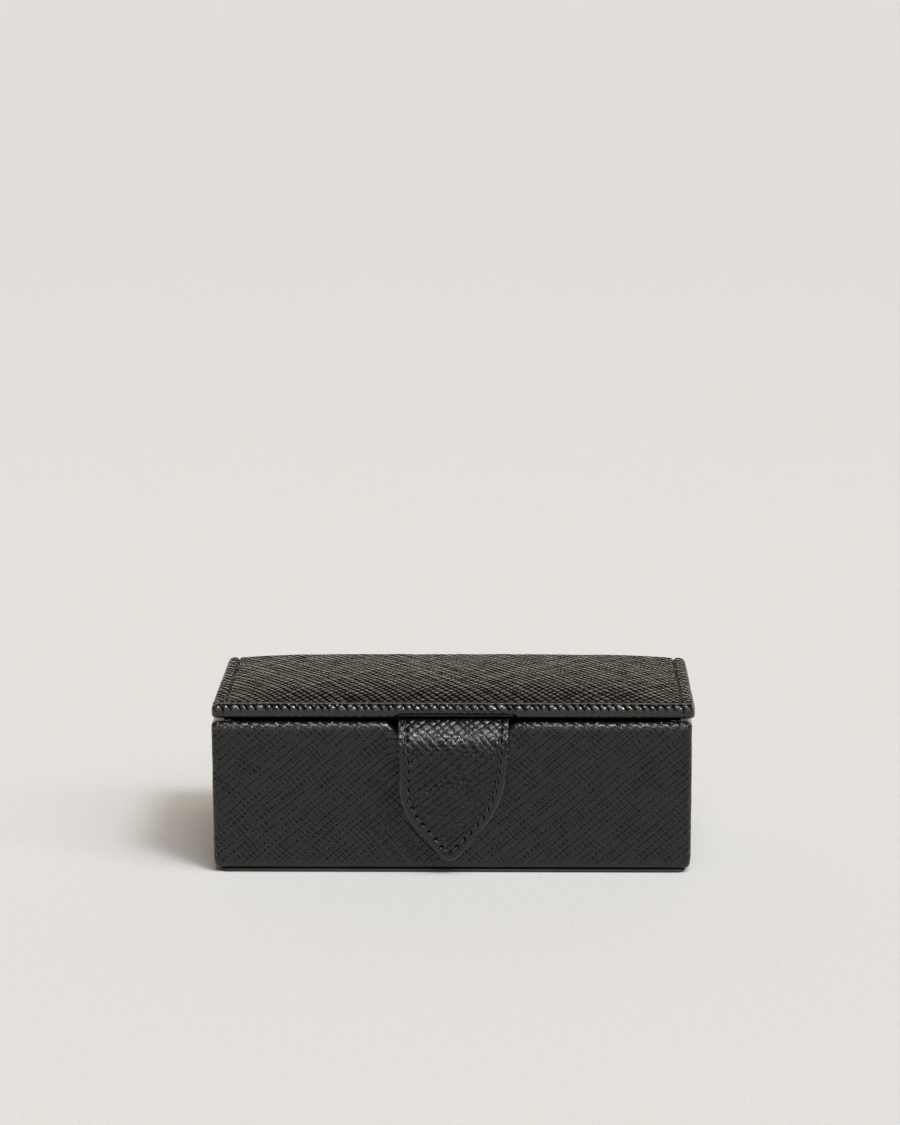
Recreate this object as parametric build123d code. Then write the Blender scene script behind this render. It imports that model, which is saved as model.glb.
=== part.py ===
"""A leather-covered cufflink box with a hinged lid and a magnetic tab.

Five thin boards make the case. Grained leather is wrapped round them, turned over the rim and under
the base, and a covered sole closes the underside. Inside, card panels and four slotted dividers in
soft lining make eight cells. The lid is a board with a thin foam crown under its leather. Its leather
runs over the back edge and down the back of the case, and the fold between the two is the hinge. A
pointed tab is glued under the lid, folds down over a scoop in the front rim, and holds by one magnet
in the tab and one in the front board.

Millimetres. X runs along the width, the front faces -Y, +Z is up, and the origin lies on the
underside of the sole, at the middle of the case.
"""

import os
from math import exp

from build123d import *

# Case
case_width = 125.0  # over the leather, left to right
case_depth = 57.0  # over the leather, front to back
rim_height = 40.4  # from the table to the top of the rim
corner_radius = 1.5  # the case's upright corners
rim_round = 1.2  # the leather's roll over the rim
base_round = 1.0  # the leather's roll under the base

# Materials
leather = 0.9  # full thickness of the grained leather
pared_leather = 0.6  # where it is pared and turned in
turn_in = 8.0  # how far the leather is turned in
board = 2.5  # case boards
rabbet = 1.25  # depth of the rabbets that join the boards
lining = 1.0  # covered card on the inner walls
lining_drop = 2.5  # the lining stops this far below the rim
edge_break = 0.4  # small rounding on covered edges

# Sole and floor
sole_thickness = 1.3
sole_inset = 1.0
floor_pad_thickness = 3.0
cell_margin = 0.3  # flat strip round each cell's swelling
cell_slope = 5.0  # width of its sloping margin
cell_swell = 0.7  # its rise above the pad

# Dividers
cells_long = 4  # cells along the width
divider = 2.4  # covered thickness
divider_height = 26.6
lap_clearance = 0.1  # each side of a half-lap slot

# Lid
lid_gap = 0.9  # between the rim and the lid's underside
lid_overhang_side = 0.25
lid_overhang_front = 0.3
lid_thickness = 3.6  # at the edge, over the leather
lid_corner_radius = 2.0
lid_edge_round = 1.75
border = 2.75  # flat strip outside the creases at the left and right
crease_width = 0.7
crease_depth = 0.35
foam_edge = 0.25  # full thickness of the foam at the creases
foam_crown = 2.45  # and its further thickness in the middle
foam_build_up = 10.0  # distance in which most of the crown builds up, from the front and the creases
foam_fall = 0.61  # share of the crown that is lost again towards the back
foam_front_setback = 2.5  # the foam stops this far behind the front edge of the lid board
foam_back_setback = 0.4
pad_back_round = 2.2  # the padded leather's roll over the back edge
lid_turn_in = 8.0
lid_pad_edge = 1.6  # lid lining, at its edge
lid_pad_crown = 0.8  # and its further thickness in the middle
lid_pad_clearance = 0.8  # to the case lining, all round
lid_pad_slope = 8.0  # width of the sloping margin of the lid lining

# Back panel and hinge
back_leather = 0.7
back_panel_bottom = 2.2  # height of its lower edge above the table
hinge_groove = 0.3  # radius of the crease on the hinge axis

# Tab
tab_face_leather = 1.0
tab_back_leather = 0.8
tab_standoff = 0.5  # from the case's front face
tab_half_width = 14.3  # at the fold
tab_side_lean = 0.04  # the sides draw in by this share of their height
tab_flank_slope = 0.88  # width gained per height from the point up
tab_tip_height = 4.0  # above the table
tab_tip_radius = 1.85
tab_shoulder_radius = 22.0
fold_radius = 1.2  # inside of the fold
fold_stub = 0.5  # straight length at each end of the fold
tongue_length = 10.0  # the tab's pared root, glued under the lid board
bulge_radius = 9.5  # where the magnet lifts the leather

# Scoop in the front rim, where the tab passes
scoop_depth = 2.4
scoop_clearance = 0.7  # each side of the tab, at the bottom of the scoop
scoop_shoulder = 2.8  # width of each sloping shoulder
scoop_round = 1.3

# Magnets
magnet_radius = 5.0
case_magnet_thickness = 1.5
tab_magnet_thickness = 0.8
magnet_height = 18.5  # above the table
magnet_clearance = 0.05

# Places that follow from the sizes
half_width = case_width / 2
half_depth = case_depth / 2
board_half_width = half_width - leather
board_half_depth = half_depth - leather
inner_half_width = board_half_width - board
inner_half_depth = board_half_depth - board
clear_half_width = inner_half_width - lining
clear_half_depth = inner_half_depth - lining
board_bottom = sole_thickness + pared_leather
board_top = rim_height - leather
floor_top = board_bottom + board
pad_top = floor_top + floor_pad_thickness
lining_top = rim_height - lining_drop
tab_thickness = tab_face_leather + tab_back_leather

lid_bottom = rim_height + lid_gap
lid_half_width = half_width + lid_overhang_side
lid_front = -(half_depth + lid_overhang_front)
lid_back = half_depth + back_leather
lid_top = lid_bottom + lid_thickness
lid_board_bottom = lid_bottom + pared_leather
lid_board_top = lid_top - leather
crease_x = lid_half_width - border
foam_front = lid_front + leather + foam_front_setback
foam_span = lid_back - foam_front
pad_half_width = clear_half_width - lid_pad_clearance
pad_half_depth = clear_half_depth - lid_pad_clearance

root_bottom = lid_bottom - tab_thickness
fold_y = -(half_depth + tab_standoff) + fold_radius
fold_z = root_bottom - fold_radius
root_front = fold_y + fold_stub
root_step = -inner_half_depth
root_tongue_end = root_step + tongue_length
front_face_y = -half_depth
tab_inner_y = front_face_y - tab_standoff
tab_seam_y = tab_inner_y - tab_back_leather
hinge_z = rim_height + lid_gap / 2

cell_pitch = (2 * clear_half_width + divider) / cells_long
cross_places = [(n - cells_long / 2) * cell_pitch for n in range(1, cells_long)]
lap_height = pad_top + divider_height / 2
slot = divider / 2 + lap_clearance


def block(x0, x1, y0, y1, z0, z1):
    """A plain box between two corners."""
    return Pos((x0 + x1) / 2, (y0 + y1) / 2, (z0 + z1) / 2) * Box(x1 - x0, y1 - y0, z1 - z0)


def upright_prism(width, depth, radius, z0, z1):
    """A rounded rectangle, pulled up from z0 to z1."""
    return Pos(0, 0, z0) * extrude(RectangleRounded(width, depth, radius), z1 - z0)


def across(profile, x0, x1):
    """A face drawn in the YZ plane, pulled from x0 to x1."""
    return Pos(x0, 0, 0) * extrude(profile, x1 - x0, dir=(1, 0, 0))


def disc(radius, thickness):
    """A disc that stands on the XY plane."""
    return Cylinder(radius, thickness, align=(Align.CENTER, Align.CENTER, Align.MIN))


def yz_face(*points):
    """A face in the YZ plane with straight sides through (y, z) points."""
    return make_face(Polyline(*[(0, y, z) for y, z in points], close=True))


# Case boards


def scoop(offset, y0, y1):
    """The cut for the scoop in the front rim, grown by an offset for what lies under the leather."""
    bottom = rim_height - scoop_depth - offset
    half = tab_half_width + scoop_clearance + offset
    above = rim_height + scoop_depth
    outline = Polyline(
        (-half - scoop_shoulder, 0, rim_height),
        (-half, 0, bottom),
        (half, 0, bottom),
        (half + scoop_shoulder, 0, rim_height),
        (half + scoop_shoulder, 0, above),
        (-half - scoop_shoulder, 0, above),
        close=True,
    )
    face = make_face(outline)
    face = fillet(face.vertices().group_by(Axis.Z)[0], scoop_round)
    return Pos(0, y0, 0) * extrude(face, y1 - y0, dir=(0, 1, 0))


def long_board():
    """The front or back board: rabbets at its ends and foot, a rebate for the turned-in leather."""
    body = block(
        -board_half_width, board_half_width, -board_half_depth, -inner_half_depth, board_bottom, board_top
    )
    upright = body.edges().filter_by(Axis.Z).group_by(Axis.Y)[0]
    body = fillet(upright, edge_break)
    joint_y = -inner_half_depth - rabbet
    for side in (-1, 1):
        ends = sorted((side * inner_half_width, side * board_half_width))
        body -= block(*ends, joint_y, -inner_half_depth, board_bottom, board_top)
    body -= block(-board_half_width, board_half_width, joint_y, -inner_half_depth, board_bottom, floor_top)
    rebate_y = -inner_half_depth - pared_leather
    body -= block(
        -board_half_width, board_half_width, rebate_y, -inner_half_depth, board_top - turn_in, board_top
    )
    return body


def front_wall():
    """The front board before its pocket for the magnet is bored."""
    return long_board() - scoop(leather, -board_half_depth, -inner_half_depth)


def make_front_board():
    pocket = disc(magnet_radius + magnet_clearance, case_magnet_thickness + magnet_clearance)
    return front_wall() - Pos(0, -board_half_depth, magnet_height) * Rot(X=-90) * pocket


def make_back_board():
    return Rot(Z=180) * long_board()


def side_board(side):
    """The left (-1) or right (1) board, whose ends sit in the rabbets of the front and back."""
    reach = inner_half_depth + rabbet
    body = block(-board_half_width, -inner_half_width, -reach, reach, board_bottom, board_top)
    joint_x = -inner_half_width - rabbet
    body -= block(joint_x, -inner_half_width, -reach, reach, board_bottom, floor_top)
    rebate_x = -inner_half_width - pared_leather
    rebate_y = inner_half_depth + pared_leather
    body -= block(rebate_x, -inner_half_width, -rebate_y, rebate_y, board_top - turn_in, board_top)
    return body if side < 0 else Rot(Z=180) * body


def make_bottom_board():
    reach_x = inner_half_width + rabbet
    reach_y = inner_half_depth + rabbet
    return block(-reach_x, reach_x, -reach_y, reach_y, board_bottom, floor_top)


# Case leather, sole and back panel


def is_outer(edge):
    """True for an edge of the rim, scoop included, on the case's outer faces."""
    middle = edge.center()
    return abs(middle.X) > half_width - corner_radius / 2 or abs(middle.Y) > half_depth - corner_radius / 2


def is_inner(edge):
    """True for an edge of the opening inside the rim."""
    middle = edge.center()
    at_side = abs(abs(middle.X) - inner_half_width) < edge_break / 4
    at_end = abs(abs(middle.Y) - inner_half_depth) < edge_break / 4
    return at_side or at_end


def rim_edges(body, belongs):
    lowest = rim_height - scoop_depth - edge_break
    return [e for e in body.edges() if e.center().Z > lowest and belongs(e)]


def make_case_leather(boards):
    """One skin: the outer walls, rolled over the rim and turned in, and turned in under the base."""
    body = upright_prism(case_width, case_depth, corner_radius, sole_thickness, rim_height)
    body = fillet(body.edges().group_by(Axis.Z)[0], base_round)
    body -= block(
        -inner_half_width, inner_half_width, -inner_half_depth, inner_half_depth, floor_top, rim_height
    )
    body -= scoop(0, -half_depth, -inner_half_depth)
    body = fillet(rim_edges(body, is_outer), rim_round)
    body = fillet(rim_edges(body, is_inner), edge_break)
    body -= make_base_infill()
    return body - boards


def make_base_infill():
    """Card that levels the underside between the turned-in edges, so that the sole lies flat."""
    window_x = half_width - base_round - turn_in
    window_y = half_depth - base_round - turn_in
    return block(-window_x, window_x, -window_y, window_y, sole_thickness, board_bottom)


def make_sole():
    width = case_width - 2 * sole_inset
    depth = case_depth - 2 * sole_inset
    body = upright_prism(width, depth, corner_radius, 0, sole_thickness)
    ends = body.edges().group_by(Axis.Z)
    return fillet(ends[0] + ends[-1], edge_break)


def make_back_leather():
    """The lid's leather where it runs down the back of the case, with a pared edge."""
    body = block(-crease_x, crease_x, half_depth, lid_back, back_panel_bottom, rim_height)
    outside = body.faces().sort_by(Axis.Y)[-1].edges()
    pared = outside.filter_by(Axis.Z) + outside.group_by(Axis.Z)[0]
    return fillet(pared, edge_break)


def make_hinge_fold():
    """The leather between the lid and the case, creased along the hinge axis."""
    body = block(-crease_x, crease_x, half_depth - leather + back_leather, lid_back, rim_height, lid_bottom)
    groove = Pos(0, lid_back, hinge_z) * Rot(Y=90) * Cylinder(hinge_groove, 2 * crease_x)
    return body - groove


# Lining and dividers


def long_lining():
    """The front or back lining, which runs the whole width between the boards."""
    body = block(
        -inner_half_width, inner_half_width, -inner_half_depth, -clear_half_depth, floor_top, lining_top
    )
    top = body.edges().group_by(Axis.Z)[-1].filter_by(Axis.X)
    return fillet(top, edge_break)


def side_lining(side):
    """The left (-1) or right (1) lining, between the other two."""
    body = block(
        -inner_half_width, -clear_half_width, -clear_half_depth, clear_half_depth, floor_top, lining_top
    )
    top = body.edges().group_by(Axis.Z)[-1].filter_by(Axis.Y)
    body = fillet(top, edge_break)
    return body if side < 0 else Rot(Z=180) * body


def cushion(width, depth, slope, rise, z):
    """A low swelling with sloping margins, whose upper face is drawn in by the slope."""
    wide = Pos(0, 0, z) * Rectangle(width, depth)
    narrow = Pos(0, 0, z + rise) * Rectangle(width - 2 * slope, depth - 2 * slope)
    return loft([wide, narrow])


def make_floor_pad():
    """The floor pad, which swells a little in each cell between the dividers."""
    body = block(-clear_half_width, clear_half_width, -clear_half_depth, clear_half_depth, floor_top, pad_top)
    width = cell_pitch - divider - 2 * cell_margin
    depth = clear_half_depth - divider / 2 - 2 * cell_margin
    swelling = cushion(width, depth, cell_slope, cell_swell, pad_top)
    y = (clear_half_depth + divider / 2) / 2
    for n in range(cells_long):
        x = (n + 0.5 - cells_long / 2) * cell_pitch
        body += [Pos(x, side * y, 0) * swelling for side in (-1, 1)]
    return body


def divider_blank(length):
    """A divider along X with a rounded top, standing on the floor pad."""
    body = block(-length / 2, length / 2, -divider / 2, divider / 2, pad_top, pad_top + divider_height)
    top = body.edges().group_by(Axis.Z)[-1].filter_by(Axis.X)
    return fillet(top, divider / 2 - lap_clearance)


def make_long_divider():
    """Slotted from above, where the cross dividers drop in."""
    body = divider_blank(2 * clear_half_width)
    for x in cross_places:
        body -= block(x - slot, x + slot, -divider, divider, lap_height, pad_top + 2 * divider_height)
    return body


def cross_divider(x):
    """Slotted from below, where it straddles the long divider."""
    body = Rot(Z=90) * divider_blank(2 * clear_half_depth)
    body -= block(-divider, divider, -slot, slot, pad_top, lap_height)
    return Pos(x, 0, 0) * body


# Lid


def foam_height(x, y):
    """Thickness of the foam, which is crowned from side to side and highest before the middle."""
    from_crease = crease_x - abs(x)
    from_front = y - foam_front
    fullness = foam_edge + foam_crown * (1 - exp(-from_crease / foam_build_up))
    return fullness * (1 - exp(-from_front / foam_build_up) - foam_fall * (from_front / foam_span) ** 2)


def under_crown(region, base):
    """The part of a region below the foam's top, when the foam lies on a given height."""
    margin = border / 2
    steps = 24
    half = crease_x + margin
    front = foam_front - 2 * margin
    reach = lid_back + margin - front
    grid = []
    for i in range(steps + 1):
        x = half * (2 * i / steps - 1)
        rows = [front + reach * j / steps for j in range(steps + 1)]
        grid.append([Vector(x, y, base + foam_height(x, y)) for y in rows])
    top = Face.make_surface_from_array_of_points(grid, tol=0.002)
    return region & extrude(top, 2 * lid_thickness, dir=(0, 0, -1))


def lid_prism(inset, z0, z1):
    """The lid's outline, drawn in by an inset."""
    width = 2 * (lid_half_width - inset)
    depth = lid_back - lid_front - 2 * inset
    body = upright_prism(width, depth, lid_corner_radius - inset, z0, z1)
    return Pos(0, (lid_back + lid_front) / 2, 0) * body


def make_lid_board():
    body = lid_prism(leather, lid_board_bottom, lid_board_top)
    ends = body.edges().group_by(Axis.Z)
    return fillet(ends[0] + ends[-1], edge_break)


def make_lid_foam():
    side = crease_x - leather
    back = lid_back - leather - foam_back_setback
    tall = lid_board_top + lid_thickness
    region = block(-side, side, foam_front - foam_back_setback, back, lid_board_top, tall)
    return under_crown(region, lid_board_top)


def lid_window():
    """The field under the lid board that the turned-in leather leaves open."""
    side = lid_half_width - leather - lid_turn_in
    inset = leather + lid_turn_in
    return block(-side, side, lid_front + inset, lid_back - inset, lid_bottom, lid_board_bottom)


def crease(side):
    """The V pressed into the lid's leather beside its padded field."""
    flank = crease_width / 2
    profile = Polyline(
        (side * crease_x - flank, 0, lid_top),
        (side * crease_x, 0, lid_top - crease_depth),
        (side * crease_x + flank, 0, lid_top),
        (side * crease_x, 0, lid_top + crease_depth),
        close=True,
    )
    front = lid_front + lid_edge_round
    return Pos(0, front, 0) * extrude(make_face(profile), 2 * half_depth, dir=(0, 1, 0))


def make_lid_leather(inside):
    """The lid's cover: rolled round all four edges and turned in below, padded between the creases."""
    body = lid_prism(0, lid_bottom, lid_top)
    ends = body.edges().group_by(Axis.Z)
    body = fillet(ends[0] + ends[-1], lid_edge_round)
    field = block(
        -crease_x, crease_x, foam_front - foam_back_setback, lid_back, lid_bottom, lid_top + lid_thickness
    )
    padded = under_crown(field, lid_top)
    back_top = padded.faces().sort_by(Axis.Y)[-1].edges().sort_by(Axis.Z)[-1]
    body += fillet(back_top, pad_back_round)
    body -= [crease(-1), crease(1)]
    return body - [lid_window(), *inside]


def make_lid_infill(tab_root):
    """Card that levels the field between the lid's turned-in edges."""
    return lid_window() - tab_root


def make_lid_lining():
    """A padded panel that hides the lid's turned-in leather and the tab's root."""
    edge_bottom = lid_bottom - lid_pad_edge
    body = block(-pad_half_width, pad_half_width, -pad_half_depth, pad_half_depth, edge_bottom, lid_bottom)
    swelling = cushion(2 * pad_half_width, 2 * pad_half_depth, lid_pad_slope, lid_pad_crown, -edge_bottom)
    return body + Rot(X=180) * swelling


# Tab


def tab_outline():
    """The pointed outline, drawn in the XZ plane from the fold down to the tip."""
    top = fold_z - fold_stub
    sharp_tip = tab_tip_height - tab_tip_radius * (((1 + tab_flank_slope**2) ** 0.5) / tab_flank_slope - 1)
    base_line = tab_half_width - tab_side_lean * (fold_z - sharp_tip)
    shoulder = sharp_tip + base_line / (tab_flank_slope - tab_side_lean)
    half_shoulder = tab_flank_slope * (shoulder - sharp_tip)
    half_top = tab_half_width - tab_side_lean * fold_stub
    outline = Polyline(
        (-half_top, 0, top),
        (-half_shoulder, 0, shoulder),
        (0, 0, sharp_tip),
        (half_shoulder, 0, shoulder),
        (half_top, 0, top),
        close=True,
    )
    face = make_face(outline)
    by_height = face.vertices().group_by(Axis.Z)
    face = fillet(by_height[1], tab_shoulder_radius)
    return fillet(face.vertices().group_by(Axis.Z)[0], tab_tip_radius)


def tab_layer(y_near, y_far):
    return Pos(0, y_near, 0) * extrude(tab_outline(), y_near - y_far, dir=(0, -1, 0))


def make_tab_magnet():
    return Pos(0, tab_seam_y, magnet_height) * Rot(X=90) * disc(magnet_radius, tab_magnet_thickness)


def make_case_magnet():
    magnet = disc(magnet_radius, case_magnet_thickness)
    return Pos(0, -board_half_depth, magnet_height) * Rot(X=-90) * magnet


def make_tab_face(magnet):
    """The tab's grained face, lifted by the magnet behind it."""
    face_y = tab_seam_y - tab_face_leather
    body = tab_layer(tab_seam_y, face_y)
    rise = tab_magnet_thickness
    outline = [
        Line((0, 0, 0), (bulge_radius, 0, 0)),
        Spline((bulge_radius, 0, 0), (magnet_radius, 0, rise), tangents=((-1, 0, 0), (-1, 0, 0))),
        Line((magnet_radius, 0, rise), (0, 0, rise)),
        Line((0, 0, rise), (0, 0, 0)),
    ]
    bulge = revolve(make_face(outline), Axis.Z)
    body += Pos(0, face_y, magnet_height) * Rot(X=90) * bulge
    return body - magnet


def make_tab_root():
    """The tab's root under the lid, pared to a tongue where it is glued to the board."""
    profile = yz_face(
        (root_front, root_bottom),
        (root_step, root_bottom),
        (root_step, lid_bottom),
        (root_tongue_end, lid_bottom),
        (root_tongue_end, lid_board_bottom),
        (root_step - pared_leather, lid_board_bottom),
        (root_step - pared_leather, lid_bottom),
        (root_front, lid_bottom),
    )
    return across(profile, -tab_half_width, tab_half_width)


def make_tab_fold():
    """The bend from under the lid to the hanging tab, about the tab's hinge axis."""
    inner, outer = fold_radius, fold_radius + tab_thickness
    ring = Rot(Y=90) * (Cylinder(outer, 2 * tab_half_width) - Cylinder(inner, 2 * tab_half_width))
    quarter = block(-tab_half_width, tab_half_width, -outer, 0, 0, outer)
    bend = Pos(0, fold_y, fold_z) * (ring & quarter)
    flat = block(-tab_half_width, tab_half_width, fold_y, root_front, root_bottom, lid_bottom)
    hanging = block(
        -tab_half_width, tab_half_width, tab_inner_y - tab_thickness, tab_inner_y, fold_z - fold_stub, fold_z
    )
    return bend + flat + hanging


def build():
    front, back = make_front_board(), make_back_board()
    left, right = side_board(-1), side_board(1)
    bottom = make_bottom_board()
    lid_board, lid_foam = make_lid_board(), make_lid_foam()
    tab_root, tab_magnet = make_tab_root(), make_tab_magnet()
    parts = {
        "front_board": front,
        "back_board": back,
        "left_board": left,
        "right_board": right,
        "bottom_board": bottom,
        "case_leather": make_case_leather([front_wall(), back, left, right, bottom]),
        "base_infill": make_base_infill(),
        "sole": make_sole(),
        "back_leather": make_back_leather(),
        "hinge_fold": make_hinge_fold(),
        "front_lining": long_lining(),
        "back_lining": Rot(Z=180) * long_lining(),
        "left_lining": side_lining(-1),
        "right_lining": side_lining(1),
        "floor_pad": make_floor_pad(),
        "long_divider": make_long_divider(),
        "case_magnet": make_case_magnet(),
        "lid_board": lid_board,
        "lid_foam": lid_foam,
        "lid_leather": make_lid_leather([lid_board, lid_foam, tab_root]),
        "lid_infill": make_lid_infill(tab_root),
        "lid_lining": make_lid_lining(),
        "tab_root": tab_root,
        "tab_fold": make_tab_fold(),
        "tab_face": make_tab_face(tab_magnet),
        "tab_back": tab_layer(tab_inner_y, tab_seam_y),
        "tab_magnet": tab_magnet,
    }
    for number, x in enumerate(cross_places, 1):
        parts[f"cross_divider_{number}"] = cross_divider(x)
    return parts


def main():
    os.makedirs("parts", exist_ok=True)
    for name, shape in build().items():
        export_step(shape, f"parts/{name}.step")


main()
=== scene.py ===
"""Looks of a leather-covered cufflink box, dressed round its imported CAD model.

Black cross-grained leather covers the case, the padded lid and the stitched tab. Inside, soft suede
covers the walls, the dividers and the pads. Mesh code works in millimetres, in the frame's axes: X
along the width, the front towards -Y, Z up. A length becomes metres when its mesh is made.
"""

import math
from types import SimpleNamespace
from typing import NamedTuple

import bmesh
import bpy
import numpy as np
from mathutils import Matrix, Vector


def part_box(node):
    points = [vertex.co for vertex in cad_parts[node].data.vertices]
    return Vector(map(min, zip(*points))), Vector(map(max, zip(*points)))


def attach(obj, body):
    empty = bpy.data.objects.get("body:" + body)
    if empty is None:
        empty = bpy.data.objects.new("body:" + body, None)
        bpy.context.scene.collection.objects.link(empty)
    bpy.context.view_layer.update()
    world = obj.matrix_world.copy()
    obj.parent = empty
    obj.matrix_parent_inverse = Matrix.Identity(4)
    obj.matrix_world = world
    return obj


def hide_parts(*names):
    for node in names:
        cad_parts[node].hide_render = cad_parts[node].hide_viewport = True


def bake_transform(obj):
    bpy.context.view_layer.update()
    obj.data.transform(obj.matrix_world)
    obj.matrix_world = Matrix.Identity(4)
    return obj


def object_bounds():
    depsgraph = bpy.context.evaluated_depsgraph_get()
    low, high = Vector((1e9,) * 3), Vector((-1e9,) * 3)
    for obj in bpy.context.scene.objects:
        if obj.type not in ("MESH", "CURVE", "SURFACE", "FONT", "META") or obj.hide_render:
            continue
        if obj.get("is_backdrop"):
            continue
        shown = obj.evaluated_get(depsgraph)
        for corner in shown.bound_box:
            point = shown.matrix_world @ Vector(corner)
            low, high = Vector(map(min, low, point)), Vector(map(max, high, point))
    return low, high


bl_info = {
    "name": "Cufflink box",
    "version": (1, 0, 0),
    "blender": (4, 5, 0),
    "location": "View3D > Sidebar > Cufflink box",
    "description": "Leather, suede, stitches and stage for a small cufflink box",
    "category": "Object",
}

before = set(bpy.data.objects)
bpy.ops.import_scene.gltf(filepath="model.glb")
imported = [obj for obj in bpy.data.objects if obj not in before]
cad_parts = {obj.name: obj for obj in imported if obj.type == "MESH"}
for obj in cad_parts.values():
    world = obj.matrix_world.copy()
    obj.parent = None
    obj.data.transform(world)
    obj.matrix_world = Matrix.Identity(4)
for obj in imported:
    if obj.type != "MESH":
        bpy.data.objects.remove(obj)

MM = 0.001  # metres in a millimetre
IMAGE = (900, 1125)  # width and height of the photograph's frame
SENSOR = 36.0  # width of the camera's sensor in millimetres
LEAST_GAP = 0.04  # the least distance between two mesh lines, in millimetres
MERGE, SLIVER = 0.003, 0.001  # lengths in millimetres under which vertices merge and edges dissolve
SHARP = 50  # degrees between two faces from which their edge is shaded sharp

# The grain map, and the shares that the leather's material reads from the mesh
GRAIN_UV = "grain"
GRAIN_SHARE = "grain_share"
CUT_SHARE = "cut_share"
LONG_SHARE = "long_share"
# Painted shade: darker in the lid's creases, under its edge and in the stitch holes
PAINTED_SHADE = "hollow"
EDGE = "edge"
POLISH = "polish"
LEATHER_UP = "leather_up"  # direction away from the leather, for the stitches


# Sizes and colours that a user would change


def length(name, description, mm):
    """A length, given in millimetres and kept in metres."""
    return bpy.props.FloatProperty(
        name=name, description=description, default=mm * MM, unit="LENGTH", precision=5
    )


def share(name, description, value):
    """A share from 0 to 1."""
    return bpy.props.FloatProperty(
        name=name, description=description, default=value, min=0, max=1, subtype="FACTOR"
    )


def colour(name, description, value):
    """A colour in linear light."""
    return bpy.props.FloatVectorProperty(
        name=name, description=description, default=value, size=3, min=0, max=1, subtype="COLOR"
    )


def strength(name, description, value):
    """The strength of a light."""
    return bpy.props.FloatProperty(name=name, description=description, default=value, min=0)


def angle(name, description, degrees):
    """An angle, given in degrees and kept in radians."""
    return bpy.props.FloatProperty(
        name=name, description=description, default=math.radians(degrees), subtype="ANGLE"
    )


class CaseSizes(bpy.types.PropertyGroup):
    corner: length("Corner", "Radius of the case's upright corners", 1.5)
    rim_round: length("Rim roll", "Radius of the leather's roll over the rim", 1.25)
    inner_round: length("Inner roll", "Radius of the rim's inner edge", 0.7)
    base_round: length("Base roll", "Radius of the leather's roll under the base", 1.0)
    skin: length("Leather", "Thickness of the grained leather", 0.9)
    pared: length("Pared leather", "Thickness of the leather where it is turned in", 0.6)
    turn_in: length("Turn-in", "How far the leather is turned in", 8.0)
    fullness: length("Fullness", "How far the left end leans outwards at the rim", 0.2)
    end_setback: length("Left setback", "How far the left end stays in from its full size", 0.5)
    end_round: length("End tuck", "How far each end is drawn in at the base", 0.4)
    scoop_half: length("Scoop half width", "Half of the scoop's flat bottom", 13.7)
    scoop_shoulder: length("Scoop shoulder", "Width of each shoulder of the scoop", 3.1)
    scoop_depth: length("Scoop depth", "Depth of the scoop in the front rim", 2.4)
    scoop_fade: length("Scoop fade", "Height over which the leather eases into the scoop", 12.0)
    sole_corner: length("Sole corner", "Radius of the sole's corners", 2.0)
    sole_out: length("Sole stand-out", "How far the bead stands out at the front and back", 0.6)
    sole_end: length("Sole setback", "How far the bead stays back at each end", 0.5)
    sole_shift: length("Sole shift", "How far the sole sits to the right", 0.3)
    sole_bead: length("Sole bead", "Radius of the bead round the sole", 0.25)
    sole_lip: length("Sole undercut", "Height of the bead above the table", 0.36)
    waviness: length("Waviness", "Unevenness of the stretched leather", 0.035)
    pitch: length("Mesh pitch", "Distance between the cover's mesh lines", 0.8)


class LidSizes(bpy.types.PropertyGroup):
    corner: length("Corner", "Radius of the lid's upright corners", 1.8)
    edge_round: length("Edge roll", "Radius of the leather's roll over the front edge", 1.2)
    under_round: length("Under roll", "Radius of the roll under the lid's edge", 1.75)
    side_round: length("Side roll", "Radius of the roll over the ends", 1.3)
    back_round: length("Back roll", "Radius of the roll over the back edge", 2.0)
    end_under: length("Under roll at the ends", "Radius of the roll under each end", 0.9)
    left_reach: length("Left reach", "How much further the left end reaches than the right", 0.25)
    thickness: length("Edge thickness", "Thickness of the covered lid behind its front roll", 4.0)
    lean: length("Lean", "How much thinner the lid's edge is at the back", 0.4)
    front_ease: length("Front easing", "How far the top falls just before the front roll", 0.14)
    skin: length("Leather", "Thickness of the grained leather", 0.9)
    pared: length("Pared leather", "Thickness of the leather where it is turned in", 0.6)
    turn_in: length("Turn-in", "How far the leather is turned in", 8.0)
    border: length("Border", "Width of the flat strip outside each crease", 3.2)
    crease_depth: length("Crease depth", "Depth of the crease beside the padded field", 0.5)
    crease_width: length("Crease width", "Half width of the crease", 0.38)
    crease_skew: length("Crease skew", "How far the left crease leans outwards from front to back", 0.65)
    strip_lift: length("Strip lift", "How far the strips rise towards the back", 0.13)
    foam_front: length("Front setback", "Distance from the front edge to the crown's start", 3.4)
    foam_edge: length("Foam edge", "Thickness of the foam at the creases", 0.25)
    foam_crown: length("Foam crown", "Further thickness of the foam in the middle", 2.45)
    build_up: length("Build-up", "Distance in which most of the crown builds up", 10.0)
    fall: share("Fall", "Share of the crown that is lost again towards the back", 0.61)
    tab_lift: length("Lift over the tab", "How far the tab presses the lower edge up", 0.6)
    notch: length("Corner pleat", "Depth of the pleat at each front corner", 0.35)
    tuck: length("Tuck", "How much each end is drawn in", 0.25)
    offset: length("Offset", "How far the lid's cover sits to the right", 0.7)
    groove: length("Hinge groove", "Depth of the crease on the hinge line", 0.3)
    panel: length("Back panel", "Thickness of the leather down the back", 0.7)
    waviness: length("Waviness", "Unevenness of the stretched leather", 0.05)
    pitch: length("Mesh pitch", "Distance between the cover's mesh lines", 0.6)


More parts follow.
